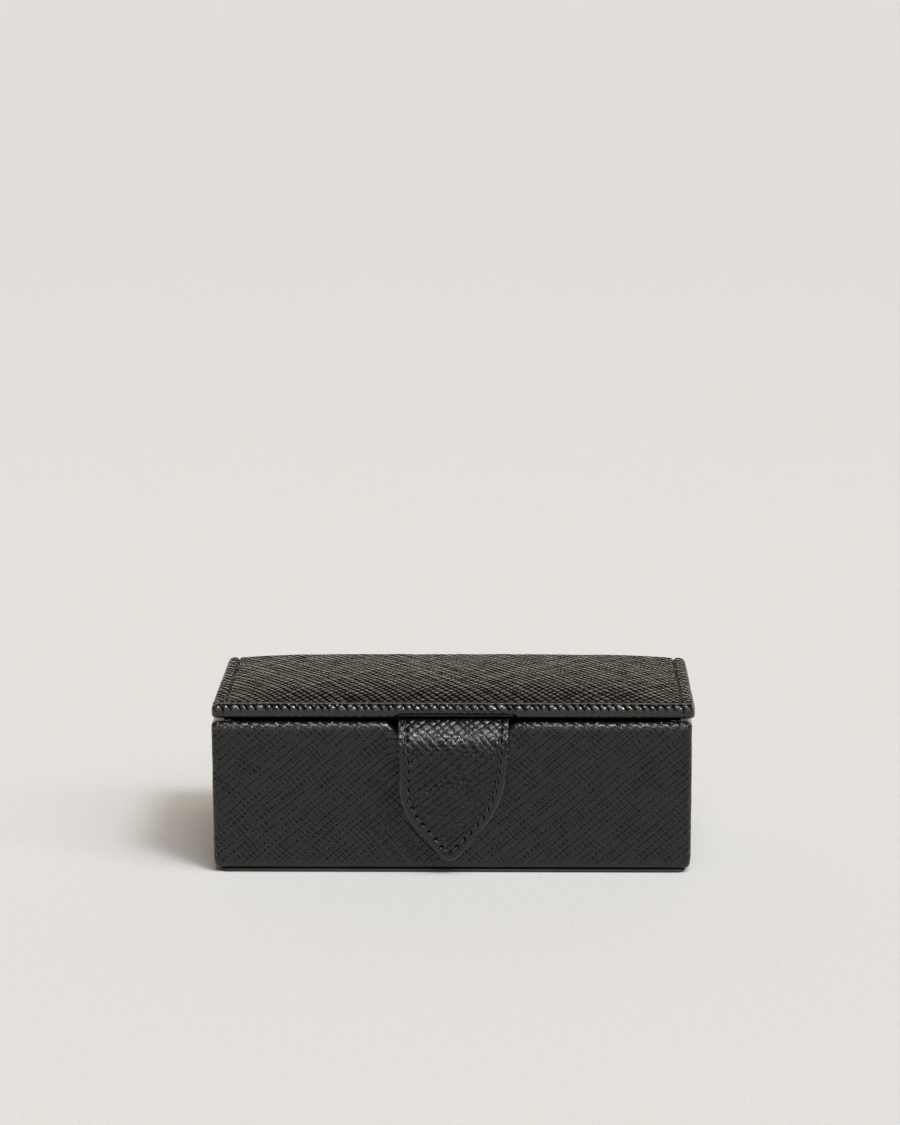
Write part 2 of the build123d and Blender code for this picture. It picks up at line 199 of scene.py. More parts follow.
class TabSizes(bpy.types.PropertyGroup):
    half_width: length("Half width", "Half of the tab's width at the fold", 14.3)
    face: length("Face", "Thickness of the grained face", 1.0)
    lining: length("Lining", "Thickness of the smooth lining", 0.8)
    tip_height: length("Tip height", "Height of the tip above the table", 4.0)
    tip_radius: length("Tip radius", "Radius of the tip", 3.2)
    shoulder_radius: length("Shoulder radius", "Radius where the sides turn towards the tip", 22.0)
    edge_round: length("Edge round", "Radius of the finished edge", 0.35)
    bend: length("Bend", "Radius in which the tab first bends under the lid's edge", 1.6)
    bow: length("Bow", "Radius in which it then bows down to the front", 8.2)
    stitch_inset: length("Stitch inset", "Distance from the edge to the stitch line", 2.05)
    stitch_tip: length("Stitch tip radius", "Radius of the stitch line round the tip", 1.8)
    stitch_pitch: length("Stitch pitch", "Distance from one stitch hole to the next", 2.62)
    stitch_length: length("Stitch length", "Visible length of one stitch", 1.95)
    thread: length("Thread", "Diameter of the thread", 0.42)
    hole: length("Hole", "Radius of the dent at a stitch hole", 0.4)
    hole_depth: length("Hole depth", "Depth of the dent at a stitch hole", 0.6)
    magnet_height: length("Magnet height", "Height of the hidden magnet above the table", 18.5)
    magnet_radius: length("Magnet radius", "Radius of the hidden magnet", 5.0)
    magnet_rise: length("Magnet rise", "How far the magnet lifts the leather", 0.8)
    magnet_skirt: length("Magnet skirt", "Radius at which the leather is flat again", 9.5)
    offset: length("Offset", "How far the tab sits to the right at the fold", 0.7)
    drift: length("Drift", "How far the tip leans to the left of the fold", 1.0)
    pitch: length("Mesh pitch", "Distance between the face's mesh lines", 0.22)


class Finish(bpy.types.PropertyGroup):
    leather: colour("Leather", "Colour of the grained leather", (0.0042, 0.0046, 0.0068))
    # The grooves' colour is painted shade: darker than the leather where the grain hides the light
    leather_groove: colour("Leather grooves", "Colour at the bottom of the grain", (0.0016, 0.0018, 0.0030))
    sole: colour("Sole", "Colour of the smooth leather below", (0.024, 0.024, 0.026))
    edge: colour("Tab edge", "Colour of the tab's painted edge", (0.05, 0.05, 0.052))
    tab_lining: colour("Tab lining", "Colour of the tab's smooth back", (0.026, 0.025, 0.026))
    thread: colour("Thread", "Colour of the waxed thread", (0.03, 0.03, 0.031))
    suede: colour("Suede", "Colour of the suede inside", (0.032, 0.031, 0.033))
    board: colour("Board", "Colour of the case board", (0.42, 0.35, 0.26))
    card: colour("Card", "Colour of the thin card", (0.55, 0.52, 0.47))
    foam: colour("Foam", "Colour of the foam", (0.5, 0.5, 0.48))
    metal: colour("Magnet", "Colour of the nickel-plated magnets", (0.62, 0.62, 0.6))
    grain_depth: length("Grain depth", "Depth of the grain's grooves", 0.17)
    groove_width: length("Groove width", "Half width of a groove", 0.27)
    gloss: share("Roughness", "Roughness of the grain's raised parts", 0.2)


class StageSettings(bpy.types.PropertyGroup):
    floor: colour("Floor", "Colour of the floor and backdrop", (0.782, 0.79, 0.815))
    room: colour("Room light", "Colour of the light from all round", (1.0, 0.74, 0.42))
    room_strength: strength("Room strength", "Strength of the light from all round", 0.13)
    back: colour("Back light", "Colour of the light low behind the box", (1.0, 0.89, 0.76))
    back_strength: strength("Back strength", "Strength of the light low behind the box", 0.95)
    key: colour("Key", "Colour of the main lamp", (0.9, 0.97, 1.0))
    soft: colour("Soft light", "Colour of the soft lamp and of the two small ones", (1.0, 0.965, 0.905))
    key_strength: strength("Key strength", "Strength of the main lamp", 1.1)
    key_width: angle("Key width", "Angle that the main lamp fills", 14)
    soft_strength: strength("Soft strength", "Strength of the soft lamp", 1.85)
    soft_width: angle("Soft width", "Angle that the soft lamp fills", 60)
    front_strength: strength("Front strength", "Strength of the small lamp above the camera", 0.34)
    front_width: angle("Front width", "Angle that lamp fills", 7)
    side_strength: strength("Side strength", "Strength of the small lamp at the right", 0.2)
    side_width: angle("Side width", "Angle that the small lamp fills", 9)


SIZE_GROUPS = {"box_case": CaseSizes, "box_lid": LidSizes, "box_tab": TabSizes}
OTHER_GROUPS = {"box_finish": Finish, "box_stage": StageSettings}


def sizes(name):
    """A group's lengths as plain numbers in millimetres, and its shares as they are."""
    group = getattr(bpy.context.scene, name)
    lengths = {p.identifier: p.unit == "LENGTH" for p in group.bl_rna.properties}
    values = {k: getattr(group, k) for k in SIZE_GROUPS[name].__annotations__}
    return SimpleNamespace(**{k: v / MM if lengths[k] else v for k, v in values.items()})


def span(*nodes):
    """Lowest and highest corner over some CAD nodes, in millimetres."""
    corners = [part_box(node) for node in nodes]
    low = np.min([np.array(c[0]) for c in corners], axis=0) / MM
    high = np.max([np.array(c[1]) for c in corners], axis=0) / MM
    return low, high


# Shapes


def smoothstep(t):
    """0 where t is 0 or less, 1 where it is 1 or more, and a smooth step between."""
    t = np.clip(t, 0, 1)
    return t * t * (3 - 2 * t)


def ripple(u, v, seed=0.0):
    """Gentle unevenness between about -1 and 1, from a few crossing waves."""
    waves = ((23, 7, 0.3), (-9, 31, 1.9), (14, -17, 4.1), (41, 12, 2.2), (-27, 45, 5.3))
    total = sum(np.sin(2 * math.pi * (u / a + v / b) + phase + seed) for a, b, phase in waves)
    return total / len(waves) * 2


def rolled_edge(steps, flatness=1.3):
    """Shares of the way out and of the way down round a roll whose middle is flatter than a circle's."""
    angles = np.radians(np.linspace(0, 90, steps + 1))
    return np.column_stack([np.sin(angles) ** flatness, 1 - np.cos(angles) ** flatness])


def arc(centre, radius, start, end, steps):
    """Points on an arc from one angle to another, both included, in degrees."""
    angles = np.radians(np.linspace(start, end, steps + 1))
    return np.column_stack([centre[0] + radius * np.cos(angles), centre[1] + radius * np.sin(angles)])


def line(start, end, steps):
    """Points on a straight line, both ends included."""
    return np.linspace(start, end, steps + 1)


def places(half, pitch, *fine):
    """Places from -half to half, a pitch apart.

    Each (middle, reach, pitch) in fine adds closer ones about its middle and about the mirror of it.
    """
    rows = [np.linspace(-half, half, max(2, round(2 * half / pitch)) + 1)]
    for middle, reach, step in fine:
        near = np.arange(middle - reach, middle + reach + step / 2, step)
        rows += [near, -near]
    merged = np.unique(np.round(np.concatenate(rows), 4))
    merged = merged[np.abs(merged) < half - LEAST_GAP]
    kept = [-half]
    for place in merged:
        if place - kept[-1] > LEAST_GAP:
            kept.append(place)
    return np.array([*kept, half])


def run_along(points):
    """Length of a line up to each of its points."""
    return np.append(0, np.cumsum(np.linalg.norm(np.diff(points, axis=0), axis=1)))


def at_marks(marks, run, values):
    """Rows of values that are given along a run, read off at marks."""
    return np.column_stack([np.interp(marks, run, column) for column in values.T])


def nearest(points, path):
    """Distance from each point to the nearest point of a path, worked out in parts to spare memory."""
    away = np.full(len(points), np.inf)
    for part in np.array_split(path, min(20, len(path))):
        gaps = np.linalg.norm(points[:, None, :] - part[None, :, :], axis=2).min(1)
        away = np.minimum(away, gaps)
    return away


def lay_out(xs, ys, steps):
    """A rectangle's grid, with stations round its border and a fan of them at each corner.

    Each station has its index in the grid, its anchor and its outward direction.
    """
    last_x, last_y = len(xs) - 1, len(ys) - 1
    sides = [
        [(i, 0) for i in range(last_x + 1)],
        [(last_x, j) for j in range(last_y + 1)],
        [(i, last_y) for i in range(last_x, -1, -1)],
        [(0, j) for j in range(last_y, -1, -1)],
    ]
    index, heading = [], []
    for side, cells in enumerate(sides):
        first = math.radians(90 * side - 90)
        index += cells
        heading += [first] * len(cells)
        for n in range(1, steps):
            index.append(cells[-1])
            heading.append(first + math.pi / 2 * n / steps)
    index = np.array(index)
    anchor = np.column_stack([xs[index[:, 0]], ys[index[:, 1]]])
    outward = np.column_stack([np.cos(heading), np.sin(heading)])
    x, y = np.meshgrid(xs, ys)
    return SimpleNamespace(x=x, y=y, index=index, anchor=anchor, outward=outward)


def sheet(plan, height):
    """A plan's grid at a height."""
    return np.stack([plan.x, plan.y, np.broadcast_to(height, plan.x.shape)], -1)


def ring(plan, distance, height):
    """A plan's stations at a height, moved out, or drawn in with it where the distance is negative."""
    low, high = plan.anchor.min(0), plan.anchor.max(0)
    middle, half = (low + high) / 2, (high - low) / 2
    distance = np.broadcast_to(distance, len(plan.anchor))[:, None]
    drawn_in = middle + (plan.anchor - middle) * (1 + np.minimum(distance, 0) / half)
    place = drawn_in + plan.outward * np.maximum(distance, 0)
    return np.column_stack([place, np.broadcast_to(height, len(place))])


def signed_volume(points, faces):
    """Volume inside the faces, negative where they are turned inwards."""
    total = 0.0
    for count in {len(face) for face in faces}:
        corners = points[np.array([face for face in faces if len(face) == count])]
        first = corners[:, 0]
        for n in range(1, count - 1):
            total += np.einsum("ij,ij->", first, np.cross(corners[:, n], corners[:, n + 1]))
    return total / 6


def add_object(name, data):
    """A new object in the scene."""
    made = bpy.data.objects.new(name, data)
    bpy.context.scene.collection.objects.link(made)
    return made


def make_piece(name, points, faces, corner_uv, material, body=None, attributes=None):
    """A closed mesh object in metres, with its faces outwards and its grain map in millimetres."""
    if signed_volume(points, faces) < 0:
        faces = [face[::-1] for face in faces]
        corner_uv = [uv[::-1] for uv in corner_uv]
    mesh = bpy.data.meshes.new(name)
    mesh.from_pydata((points * MM).tolist(), [], faces)
    grain_map = mesh.uv_layers.new(name=GRAIN_UV)
    grain_map.data.foreach_set("uv", np.concatenate([np.asarray(uv).ravel() for uv in corner_uv]))
    for key, values in (attributes or {}).items():
        attribute = mesh.attributes.new(key, "FLOAT", "POINT")
        attribute.data.foreach_set("value", np.asarray(values, np.float32))
    bm = bmesh.new()
    bm.from_mesh(mesh)
    bmesh.ops.remove_doubles(bm, verts=bm.verts, dist=MERGE * MM)
    bmesh.ops.dissolve_degenerate(bm, edges=bm.edges, dist=SLIVER * MM)
    bm.to_mesh(mesh)
    bm.free()
    mesh.shade_smooth()
    mesh.set_sharp_from_angle(angle=math.radians(SHARP))
    mesh.materials.append(material)
    piece = add_object(name, mesh)
    if body:
        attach(piece, body)
    return piece


def closed_skin(top, bottom, border, rings):
    """Vertices and faces of a closed form: an upper and a lower grid, joined round their border by rings.

    The grids are [row][column] of points, the border lists (column, row), and each ring has a point for
    each station of the border.
    """
    rows, columns = top.shape[:2]
    grid = np.arange(rows * columns).reshape(rows, columns)
    below = grid + rows * columns
    points = [top.reshape(-1, 3), bottom.reshape(-1, 3), *rings]
    start = 2 * rows * columns
    loops = [grid[border[:, 1], border[:, 0]]]
    for n in range(len(rings)):
        loops.append(start + n * len(border) + np.arange(len(border)))
    loops.append(below[border[:, 1], border[:, 0]])
    faces = []
    for block, turn in ((grid, 1), (below, -1)):
        quads = np.stack([block[:-1, :-1], block[:-1, 1:], block[1:, 1:], block[1:, :-1]], -1)
        faces += quads.reshape(-1, 4)[:, ::turn].tolist()
    for upper, lower in zip(loops, loops[1:]):
        faces += ring_faces(upper, lower)
    return np.concatenate(points), faces, loops


def ring_faces(upper, lower, wrap=True):
    """Faces between two loops of vertex numbers, the corners that meet left out."""
    count = len(upper) if wrap else len(upper) - 1
    faces = []
    for m in range(count):
        n = (m + 1) % len(upper)
        corners = [int(upper[m]), int(lower[m]), int(lower[n]), int(upper[n])]
        face = [c for k, c in enumerate(corners) if c != corners[k - 1]]
        if len(face) > 2:
            faces.append(face)
    return faces


def vertex_uv(faces, uv):
    """A map that is given for each vertex, as one for the corners of each face."""
    return [uv[face] for face in faces]


def plane_map(plan, points, loops):
    """Grain map that lies flat on the upper grid, and runs on outwards by the rings' real length."""
    plane = np.zeros((len(points), 2))
    flat = np.column_stack([plan.x.ravel(), plan.y.ravel()])
    plane[: len(flat)] = flat
    plane[len(flat) : 2 * len(flat)] = flat
    reach = np.zeros(len(plan.anchor))
    for before, after in zip(loops, loops[1:-1]):
        reach = reach + np.linalg.norm(points[after] - points[before], axis=1)
        plane[after] = plan.anchor + plan.outward * reach[:, None]
    return plane


def plan_form(plan, top, bottom, rings):
    """Vertices, faces and corner map of a closed form that is laid out on a plan."""
    points, faces, loops = closed_skin(top, bottom, plan.index, rings)
    return points, faces, vertex_uv(faces, plane_map(plan, points, loops))


def loft(rings, across, along):
    """Vertices, faces and corner map of a form that closes on itself both ways."""
    count, stations = rings.shape[:2]
    index = np.arange(count * stations).reshape(count, stations)
    faces, corner_uv = [], []
    for k in range(count):
        k2 = (k + 1) % count
        for m in range(stations):
            m2 = (m + 1) % stations
            faces.append([int(i) for i in (index[k, m], index[k2, m], index[k2, m2], index[k, m2])])
            turns = ((m, k), (m, k + 1), (m + 1, k + 1), (m + 1, k))
            corner_uv.append(np.array([(across[i], along[j]) for i, j in turns]))
    return rings.reshape(-1, 3), faces, corner_uv


# Node trees


class Tree:
    """Short calls to build a node tree.

    A value that is a socket is linked, one that is a node is linked from its first output, and any other
    is set.
    """

    def __init__(self, tree):
        self.tree = tree

    def plug(self, socket, value):
        """Links or sets one input."""
        if isinstance(value, bpy.types.Node):
            value = value.outputs[0]
        if isinstance(value, bpy.types.NodeSocket):
            self.tree.links.new(value, socket)
        else:
            socket.default_value = value

    def fill(self, node, **inputs):
        """Links or sets a node's inputs by their names, which have an underscore for each space."""
        for key, value in inputs.items():
            self.plug(node.inputs[key.replace("_", " ")], value)
        return node

    def add(self, kind, *values, **settings):
        """A node with its settings, with its first inputs in their order and with others by their names."""
        node = self.tree.nodes.new(kind)
        named = {k: v for k, v in settings.items() if not hasattr(node, k)}
        for key, value in settings.items():
            if key not in named:
                setattr(node, key, value)
        for socket, value in zip([s for s in node.inputs if s.enabled], values):
            self.plug(socket, value)
        return self.fill(node, **named)

    def math(self, operation, *values, clamp=False):
        """The result of a math node."""
        node = self.add("ShaderNodeMath", operation=operation, use_clamp=clamp)
        for socket, value in zip(node.inputs, values):
            self.plug(socket, value)
        return node.outputs[0]

    def times(self, first, second):
        """The product of two values."""
        return self.math("MULTIPLY", first, second)

    def rest(self, value, clamp=False):
        """What is left of 1 when a value is taken off."""
        return self.math("SUBTRACT", 1.0, value, clamp=clamp)

    def highest(self, first, second):
        """The higher of two values."""
        return self.math("MAXIMUM", first, second)

    def dot(self, vector, direction):
        """The dot product of two vectors."""
        return self.add("ShaderNodeVectorMath", vector, direction, operation="DOT_PRODUCT").outputs["Value"]

    def offset(self, vector, shift):
        """The sum of two vectors."""
        return self.add("ShaderNodeVectorMath", vector, shift, operation="ADD").outputs[0]

    def scaled(self, vector, factor):
        """A vector times a factor."""
        return self.add("ShaderNodeVectorMath", vector, operation="SCALE", Scale=factor).outputs[0]

    def ease(self, value, low, high, to_low=0.0, to_high=1.0):
        """A smooth step from to_low, at low and less, to to_high, at high and more."""
        node = self.add("ShaderNodeMapRange", interpolation_type="SMOOTHSTEP")
        for socket, number in zip(node.inputs, (value, low, high, to_low, to_high)):
            self.plug(socket, number)
        return node.outputs[0]

    def noise(self, vector, scale, detail=2.0, roughness=0.5, output="Fac"):
        """Noise at a place, as a number or as a colour."""
        values = {"Vector": vector, "Scale": scale, "Detail": detail, "Roughness": roughness}
        return self.add("ShaderNodeTexNoise", **values).outputs[output]

    def object_place(self):
        """The place on the object, in metres."""
        return self.add("ShaderNodeTexCoord").outputs["Object"]

    def attribute(self, name):
        """A share that the mesh carries."""
        return self.add("ShaderNodeAttribute", attribute_name=name).outputs["Fac"]

    def mix_colour(self, factor, first, second):
        """A mix of two colours."""
        node = self.add("ShaderNodeMix", data_type="RGBA")
        for number, value in ((0, factor), (6, first), (7, second)):
            self.plug(node.inputs[number], value)
        return node.outputs[2]

    def speckled(self, noise, rgb, darkest):
        """A colour that a noise darkens in places, down to a share of itself."""
        return self.mix_colour(self.ease(noise, 0.3, 0.7), opaque(rgb, darkest), opaque(rgb))

    def bump(self, height, depth):
        """A normal from a height, whose unit stands for a depth in metres."""
        return self.add("ShaderNodeBump", Strength=1.0, Distance=depth, Height=height).outputs[0]


def opaque(rgb, factor=1.0):
    """A colour times a factor, with full alpha."""
    return (*(min(1.0, factor * c) for c in rgb), 1.0)


def new_material(name):
    """A material with a Principled shader, and its tree."""
    material = bpy.data.materials.new(name)
    material.use_nodes = True
    return material, Tree(material.node_tree), material.node_tree.nodes["Principled BSDF"]


# Leather with a cross grain


class Grain(NamedTuple):
    """How one leather is embossed: long slanting grooves, with cuts across them.

    Slants in degrees, pitches in millimetres and pillows are those of the grooves and of the cuts.
    """

    slants: tuple
    pitches: tuple
    pillows: tuple  # roundness of what stands between the grooves, and between the cuts
    sheen: tuple  # heights between which the gloss grows
    lie: tuple = (0.0, 0.0, 0.0)  # where on the hide the piece is cut, in millimetres
    depth: float = 1.0  # depth, as a multiple of the usual
    width: float = 1.0  # width of a groove, as a multiple of the usual
    sway: float = 1.0  # how far the grooves sway, as a multiple of the usual
    # Shade: how far the cuts are painted dark, as painted shade
    shade: float = 1.0  # how dark the cuts are
    dashes: float = 0.0  # how far the grooves are broken up
    fine: tuple = (0.6, 1.0)  # how much of the fine grooves is filled, where they are clear and where faint
    lip: float = 0.0  # height of the raised edge beside each cut
    reach: float = 0.5  # distance from a cut in pitches over which its edge is round
    dull: float = 0.12  # gloss of the lowest parts
    shine: float = 0.5  # gloss of the highest parts


CASE_GRAIN = Grain(
    slants=(41, 135),
    pitches=(1.75, 1.9),
    pillows=(0.2, 0.65),
    sheen=(0.0, 0.6),
    sway=0.35,
    shade=0.35,
    dashes=1.0,
    fine=(0.2, 0.9),
    lip=0.4,
    reach=0.34,
)
LID_GRAIN = Grain(
    slants=(124, 48),
    pitches=(1.8, 1.6),
    pillows=(0.55, 0.7),
    sheen=(0.2, 0.75),
    lie=(90.0, 40.0, 0.0),
    depth=2.1,
    width=1.3,
    sway=0.7,
    lip=0.25,
    dull=0.0,
    shine=1.0,
)
TAB_GRAIN = Grain(
    slants=(40, 131),
    pitches=(1.75, 1.7),
    pillows=(0.3, 0.85),
    sheen=(0.0, 0.5),
    lie=(200.0, 90.0, 0.0),
    depth=1.5,
    sway=0.7,
    shade=0.2,
    lip=0.6,
    reach=0.36,
)


def family(tree, place, degrees, pitch, wall, randomness, shift=None):
    """One family of grooves at a slant, about a pitch apart.

    Gives 0 in a groove and 1 beside it, the distance to the nearest groove and the place across the
    grooves, both in pitches.
    """
    slant = math.radians(degrees)
    across = tree.dot(place, (-math.sin(slant) / pitch, math.cos(slant) / pitch, 0))
    if shift is not None:
        across = tree.math("ADD", across, shift)
    kind = {"voronoi_dimensions": "1D", "feature": "DISTANCE_TO_EDGE"}
    lines = tree.add("ShaderNodeTexVoronoi", **kind, W=across, Scale=1.0, Randomness=randomness)
    away = lines.outputs["Distance"]
    return tree.math("DIVIDE", away, wall / pitch, clamp=True), away, across


def swayed(tree, place, sway):
    """A place on the hide, swayed by a slow and by a quick noise."""
    result = place
    for scale, detail, reach in ((0.07, 1.0, 2.2), (0.45, 2.0, 0.5)):
        noise = tree.offset(tree.noise(place, scale, detail, output="Color"), (-0.5, -0.5, -0.5))
        result = tree.offset(result, tree.scaled(noise, reach * sway))
    return result


def long_grooves(tree, grain, place, bent_place, wall):
    """The long grooves, with fine ones between them, and the bridges that break both up.

    Gives the two families' walls, the distance to the nearest long groove, the bridges, and a number that
    differs from one long groove to the next.
    """
    slant, pitch = grain.slants[0], grain.pitches[0]
    wide, away, across = family(tree, bent_place, slant, pitch, wall, 0.7)
    faint = tree.noise(tree.offset(place, (7.0, 3.0, 0.0)), 0.8)
    wide = tree.highest(wide, tree.ease(faint, 0.38, 0.68, 0.0, 0.75))
    band = tree.math("SINE", tree.times(tree.math("ROUND", across), 12.99))
    fine = family(tree, bent_place, slant - math.degrees(0.04), 0.5 * pitch, 0.6 * wall, 0.8)[0]
    fine = tree.highest(fine, tree.ease(tree.noise(place, 0.22), 0.4, 0.6, *grain.fine))
    bridge = 0.0
    if grain.dashes:
        gap = family(tree, place, grain.slants[1], 1.25, wall, 0.4, tree.times(band, 0.4))[1]
        bridge = tree.ease(gap, 0.08, 0.26, grain.dashes, 0.0)
        wide, fine = tree.highest(wide, bridge), tree.highest(fine, bridge)
    return wide, fine, away, bridge, band


def raised_lip(tree, grain, place, away, cuts, height):
    """The height with a raised edge beside each cut, which comes and goes."""
    ridge = tree.times(tree.ease(away, 0.09, 0.17), tree.ease(away, 0.17, 0.27, 1.0, 0.0))
    spots = tree.noise(tree.offset(place, (3.0, 11.0, 0.0)), 1.1)
    ridge = tree.times(tree.times(ridge, cuts), tree.ease(spots, 0.42, 0.58, 0.15, 1.0))
    return tree.math("MULTIPLY_ADD", ridge, grain.lip, height)


def beads(tree, place):
    """Small round grains, in some of the cells of an even net."""
    net = tree.add("ShaderNodeTexVoronoi", voronoi_dimensions="2D", feature="F1", Vector=place, Scale=0.45)
    chosen = tree.ease(tree.add("ShaderNodeSeparateXYZ", net.outputs["Color"]), 0.6, 0.65)
    return tree.times(tree.ease(net.outputs["Distance"], 0.0, 0.075, 0.55, 0.0), chosen)


def cross_grain(name, grain):
    """Black leather, embossed with long slanting grooves and with cuts across them."""
    finish = bpy.context.scene.box_finish
    material, tree, shader = new_material(name)
    place = tree.offset(tree.add("ShaderNodeUVMap", uv_map=GRAIN_UV), grain.lie)
    bent_place = swayed(tree, place, grain.sway)
    wall = grain.width * finish.groove_width / MM
    pillow, cut_pillow = grain.pillows
    wide, fine, away, bridge, band = long_grooves(tree, grain, place, bent_place, wall)
    cut_wall, cut_away, _ = family(
        tree, bent_place, grain.slants[1], grain.pitches[1], wall, 0.7, tree.times(band, 0.2)
    )
    uneven = tree.noise(tree.offset(place, (31.0, 17.0, 0.0)), 0.4)
    cuts = tree.times(tree.attribute(CUT_SHARE), tree.ease(uneven, 0.35, 0.65, 1.0, 0.5))

    # What stands between the grooves and the cuts, as it is, and as it is painted: darker in the grooves
    # and the cuts, as painted shade
    cut_dip = tree.times(tree.rest(cut_wall), cuts)
    long_dip = tree.rest(tree.times(wide, fine))
    long_plate = tree.rest(tree.times(long_dip, tree.attribute(LONG_SHARE)))
    plate = tree.times(long_plate, tree.rest(cut_dip))
    shown = tree.times(long_plate, tree.rest(tree.times(cut_dip, grain.shade)))
    long_pillow = tree.highest(tree.ease(away, -0.05, 0.5, 1 - pillow, 1.0), bridge)
    cut_round = tree.times(tree.ease(cut_away, -0.05, grain.reach, cut_pillow, 0.0), cuts)
    shaded_round = tree.rest(tree.times(cut_round, grain.shade))
    crest = tree.times(shown, tree.times(long_pillow, shaded_round))

    # Its height, with pores and beads
    height = tree.times(plate, tree.times(long_pillow, tree.rest(cut_round)))
    if grain.lip:
        height = raised_lip(tree, grain, place, cut_away, cuts, height)
    height = tree.math("ADD", height, tree.times(tree.noise(place, 4.5), 0.08))
    height = tree.math("ADD", height, beads(tree, place))

    # Where it is pressed flat, less of it is left
    kept = tree.attribute(GRAIN_SHARE)
    crest = tree.rest(tree.times(tree.rest(crest), kept))
    height = tree.times(height, kept)
    shown = tree.rest(tree.times(tree.rest(shown), kept), clamp=True)

    # Colour and gloss: painted shade darkens and dulls the grooves, the cuts, the creases and the stitch
    # holes
    # The painted shade darkens the colour and dims the gloss
    unshaded = tree.rest(tree.attribute(PAINTED_SHADE), clamp=True)
    shown = tree.times(shown, unshaded)
    base = tree.mix_colour(shown, opaque(finish.leather_groove), opaque(finish.leather))
    polish = tree.attribute(POLISH)
    rough = tree.ease(crest, *grain.sheen, finish.gloss + 0.45, finish.gloss)
    highest = tree.math("MULTIPLY_ADD", polish, 0.5, grain.shine)
    tree.fill(
        shader,
        Base_Color=tree.mix_colour(tree.attribute(EDGE), base, opaque(finish.edge)),
        Roughness=tree.math("MULTIPLY_ADD", polish, -0.05, rough),
        Specular_IOR_Level=tree.times(tree.ease(crest, *grain.sheen, grain.dull, highest), unshaded),
        Normal=tree.bump(height, grain.depth * finish.grain_depth),
    )
    return material


# Other materials


def smooth_leather(name, rgb, roughness):
    """Plain black leather with fine pores."""
    material, tree, shader = new_material(name)
    place = tree.object_place()
    pores = tree.noise(place, 1800.0, 3.0, 0.6)
    tree.fill(
        shader,
        Base_Color=tree.speckled(tree.noise(place, 90.0), rgb, 0.7),
        Roughness=tree.ease(pores, 0.3, 0.7, roughness + 0.08, roughness - 0.05),
        Normal=tree.bump(pores, 0.03 * MM),
    )
    return material


def waxed_thread():
    """Twisted thread: fine slanting bands along each stitch."""
    material, tree, shader = new_material("waxed_thread")
    bands = tree.math("SINE", tree.dot(tree.object_place(), (16000.0, 6000.0, 14000.0)))
    waxed = opaque(bpy.context.scene.box_finish.thread)
    tree.fill(shader, Base_Color=waxed, Roughness=0.3, Normal=tree.bump(bands, 0.02 * MM))
    return material


def suede():
    """Microsuede: a short nap, brushed a little lighter and darker in places."""
    rgb = bpy.context.scene.box_finish.suede
    material, tree, shader = new_material("black_suede")
    place = tree.object_place()
    brushed = tree.noise(place, 75.0, 3.0, 0.6)
    nap = tree.noise(place, 2600.0, 3.0, 0.7)
    shade = tree.math("ADD", tree.ease(brushed, 0.3, 0.7, 0.0, 0.6), tree.times(nap, 0.5), clamp=True)
    tree.fill(
        shader,
        Base_Color=tree.mix_colour(shade, opaque(rgb, 0.72), opaque(rgb, 1.35)),
        Roughness=0.95,
        Specular_IOR_Level=0.2,
        Sheen_Weight=0.35,
        Sheen_Roughness=0.4,
        Sheen_Tint=(0.55, 0.54, 0.58, 1.0),
        Normal=tree.bump(nap, 0.08 * MM),
    )
    return material


def fibrous(name, rgb):
    """Board, card or foam: speckled with fibres."""
    material, tree, shader = new_material(name)
    fibres = tree.noise(tree.object_place(), 900.0, 4.0, 0.65)
    tree.fill(
        shader,
        Base_Color=tree.speckled(fibres, rgb, 0.8),
        Roughness=0.9,
        Normal=tree.bump(fibres, 0.06 * MM),
    )
    return material


def nickel():
    """Plated metal with fine turning marks."""
    material, tree, shader = new_material("nickel")
    marks = tree.noise(tree.object_place(), 1500.0)
    plated = opaque(bpy.context.scene.box_finish.metal)
    tree.fill(shader, Base_Color=plated, Metallic=1.0, Roughness=tree.ease(marks, 0.3, 0.7, 0.22, 0.32))
    return material


def paper(rgb):
    """The backdrop's matt paper, painted a little darker far behind the box, as painted shade where the
    light falls off.
    """
    material, tree, shader = new_material("paper_backdrop")
    place = tree.object_place()
    near = tree.speckled(tree.noise(place, 500.0, 3.0, 0.6), rgb, 0.97)
    # Painted shade: darker far behind the box
    far = tree.ease(tree.add("ShaderNodeSeparateXYZ", place).outputs["Y"], 0.0, 1.6)
    tree.fill(
        shader,
        Base_Color=tree.mix_colour(far, near, opaque(rgb, 0.95)),
        Roughness=1.0,
        Specular_IOR_Level=0.0,
        Normal=tree.bump(tree.noise(place, 1100.0, 2.0, 0.6), 0.12 * MM),
    )
    return material


def finish_nodes(names, material):
    """Gives CAD nodes a material."""
    for name in names:
        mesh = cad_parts[name].data
        mesh.materials.clear()
        mesh.materials.append(material)


# Case


DENSE = 14.0  # height below the rim in which the cover's rows are close
RIGHT_FULLNESS = 0.35  # how far the right end leans outwards, as a share of the left end's lean
TUCK_HEIGHT = 2.6  # height over the base in which the ends are drawn in


def case_section(case, rim, foot, wall):
    """The cover's section as (way in from its outer face, height), from inside over the rim and back."""
    rolled, inner, base = case.rim_round, case.inner_round, case.base_round
    start, dense = rim - case.skin - case.turn_in, rim - DENSE
    tuck, under = base + case.turn_in, foot + case.pared
    roll = rolled_edge(10)
    parts = [
        line((wall, start), (wall, rim - inner), 6),
        arc((wall - inner, rim - inner), inner, 0, 90, 5)[1:],
        line((wall - inner, rim), (rolled, rim), 2)[1:],
        ((1 - roll) * (rolled, 0) + (0, rim) - roll * (0, rolled))[1:],
        line((0, rim - rolled), (0, dense), 15)[1:],
        line((0, dense), (0, foot + base), 16)[1:],
        arc((base, foot + base), base, 180, 270, 7)[1:],
        line((base, foot), (tuck, foot), 3)[1:],
        [(tuck, under), (case.skin, under)],
        line((case.skin, dense), (case.skin, rim - case.skin), 6),
        [(wall - case.pared, rim - case.skin), (wall - case.pared, start)],
    ]
    return np.concatenate(parts)


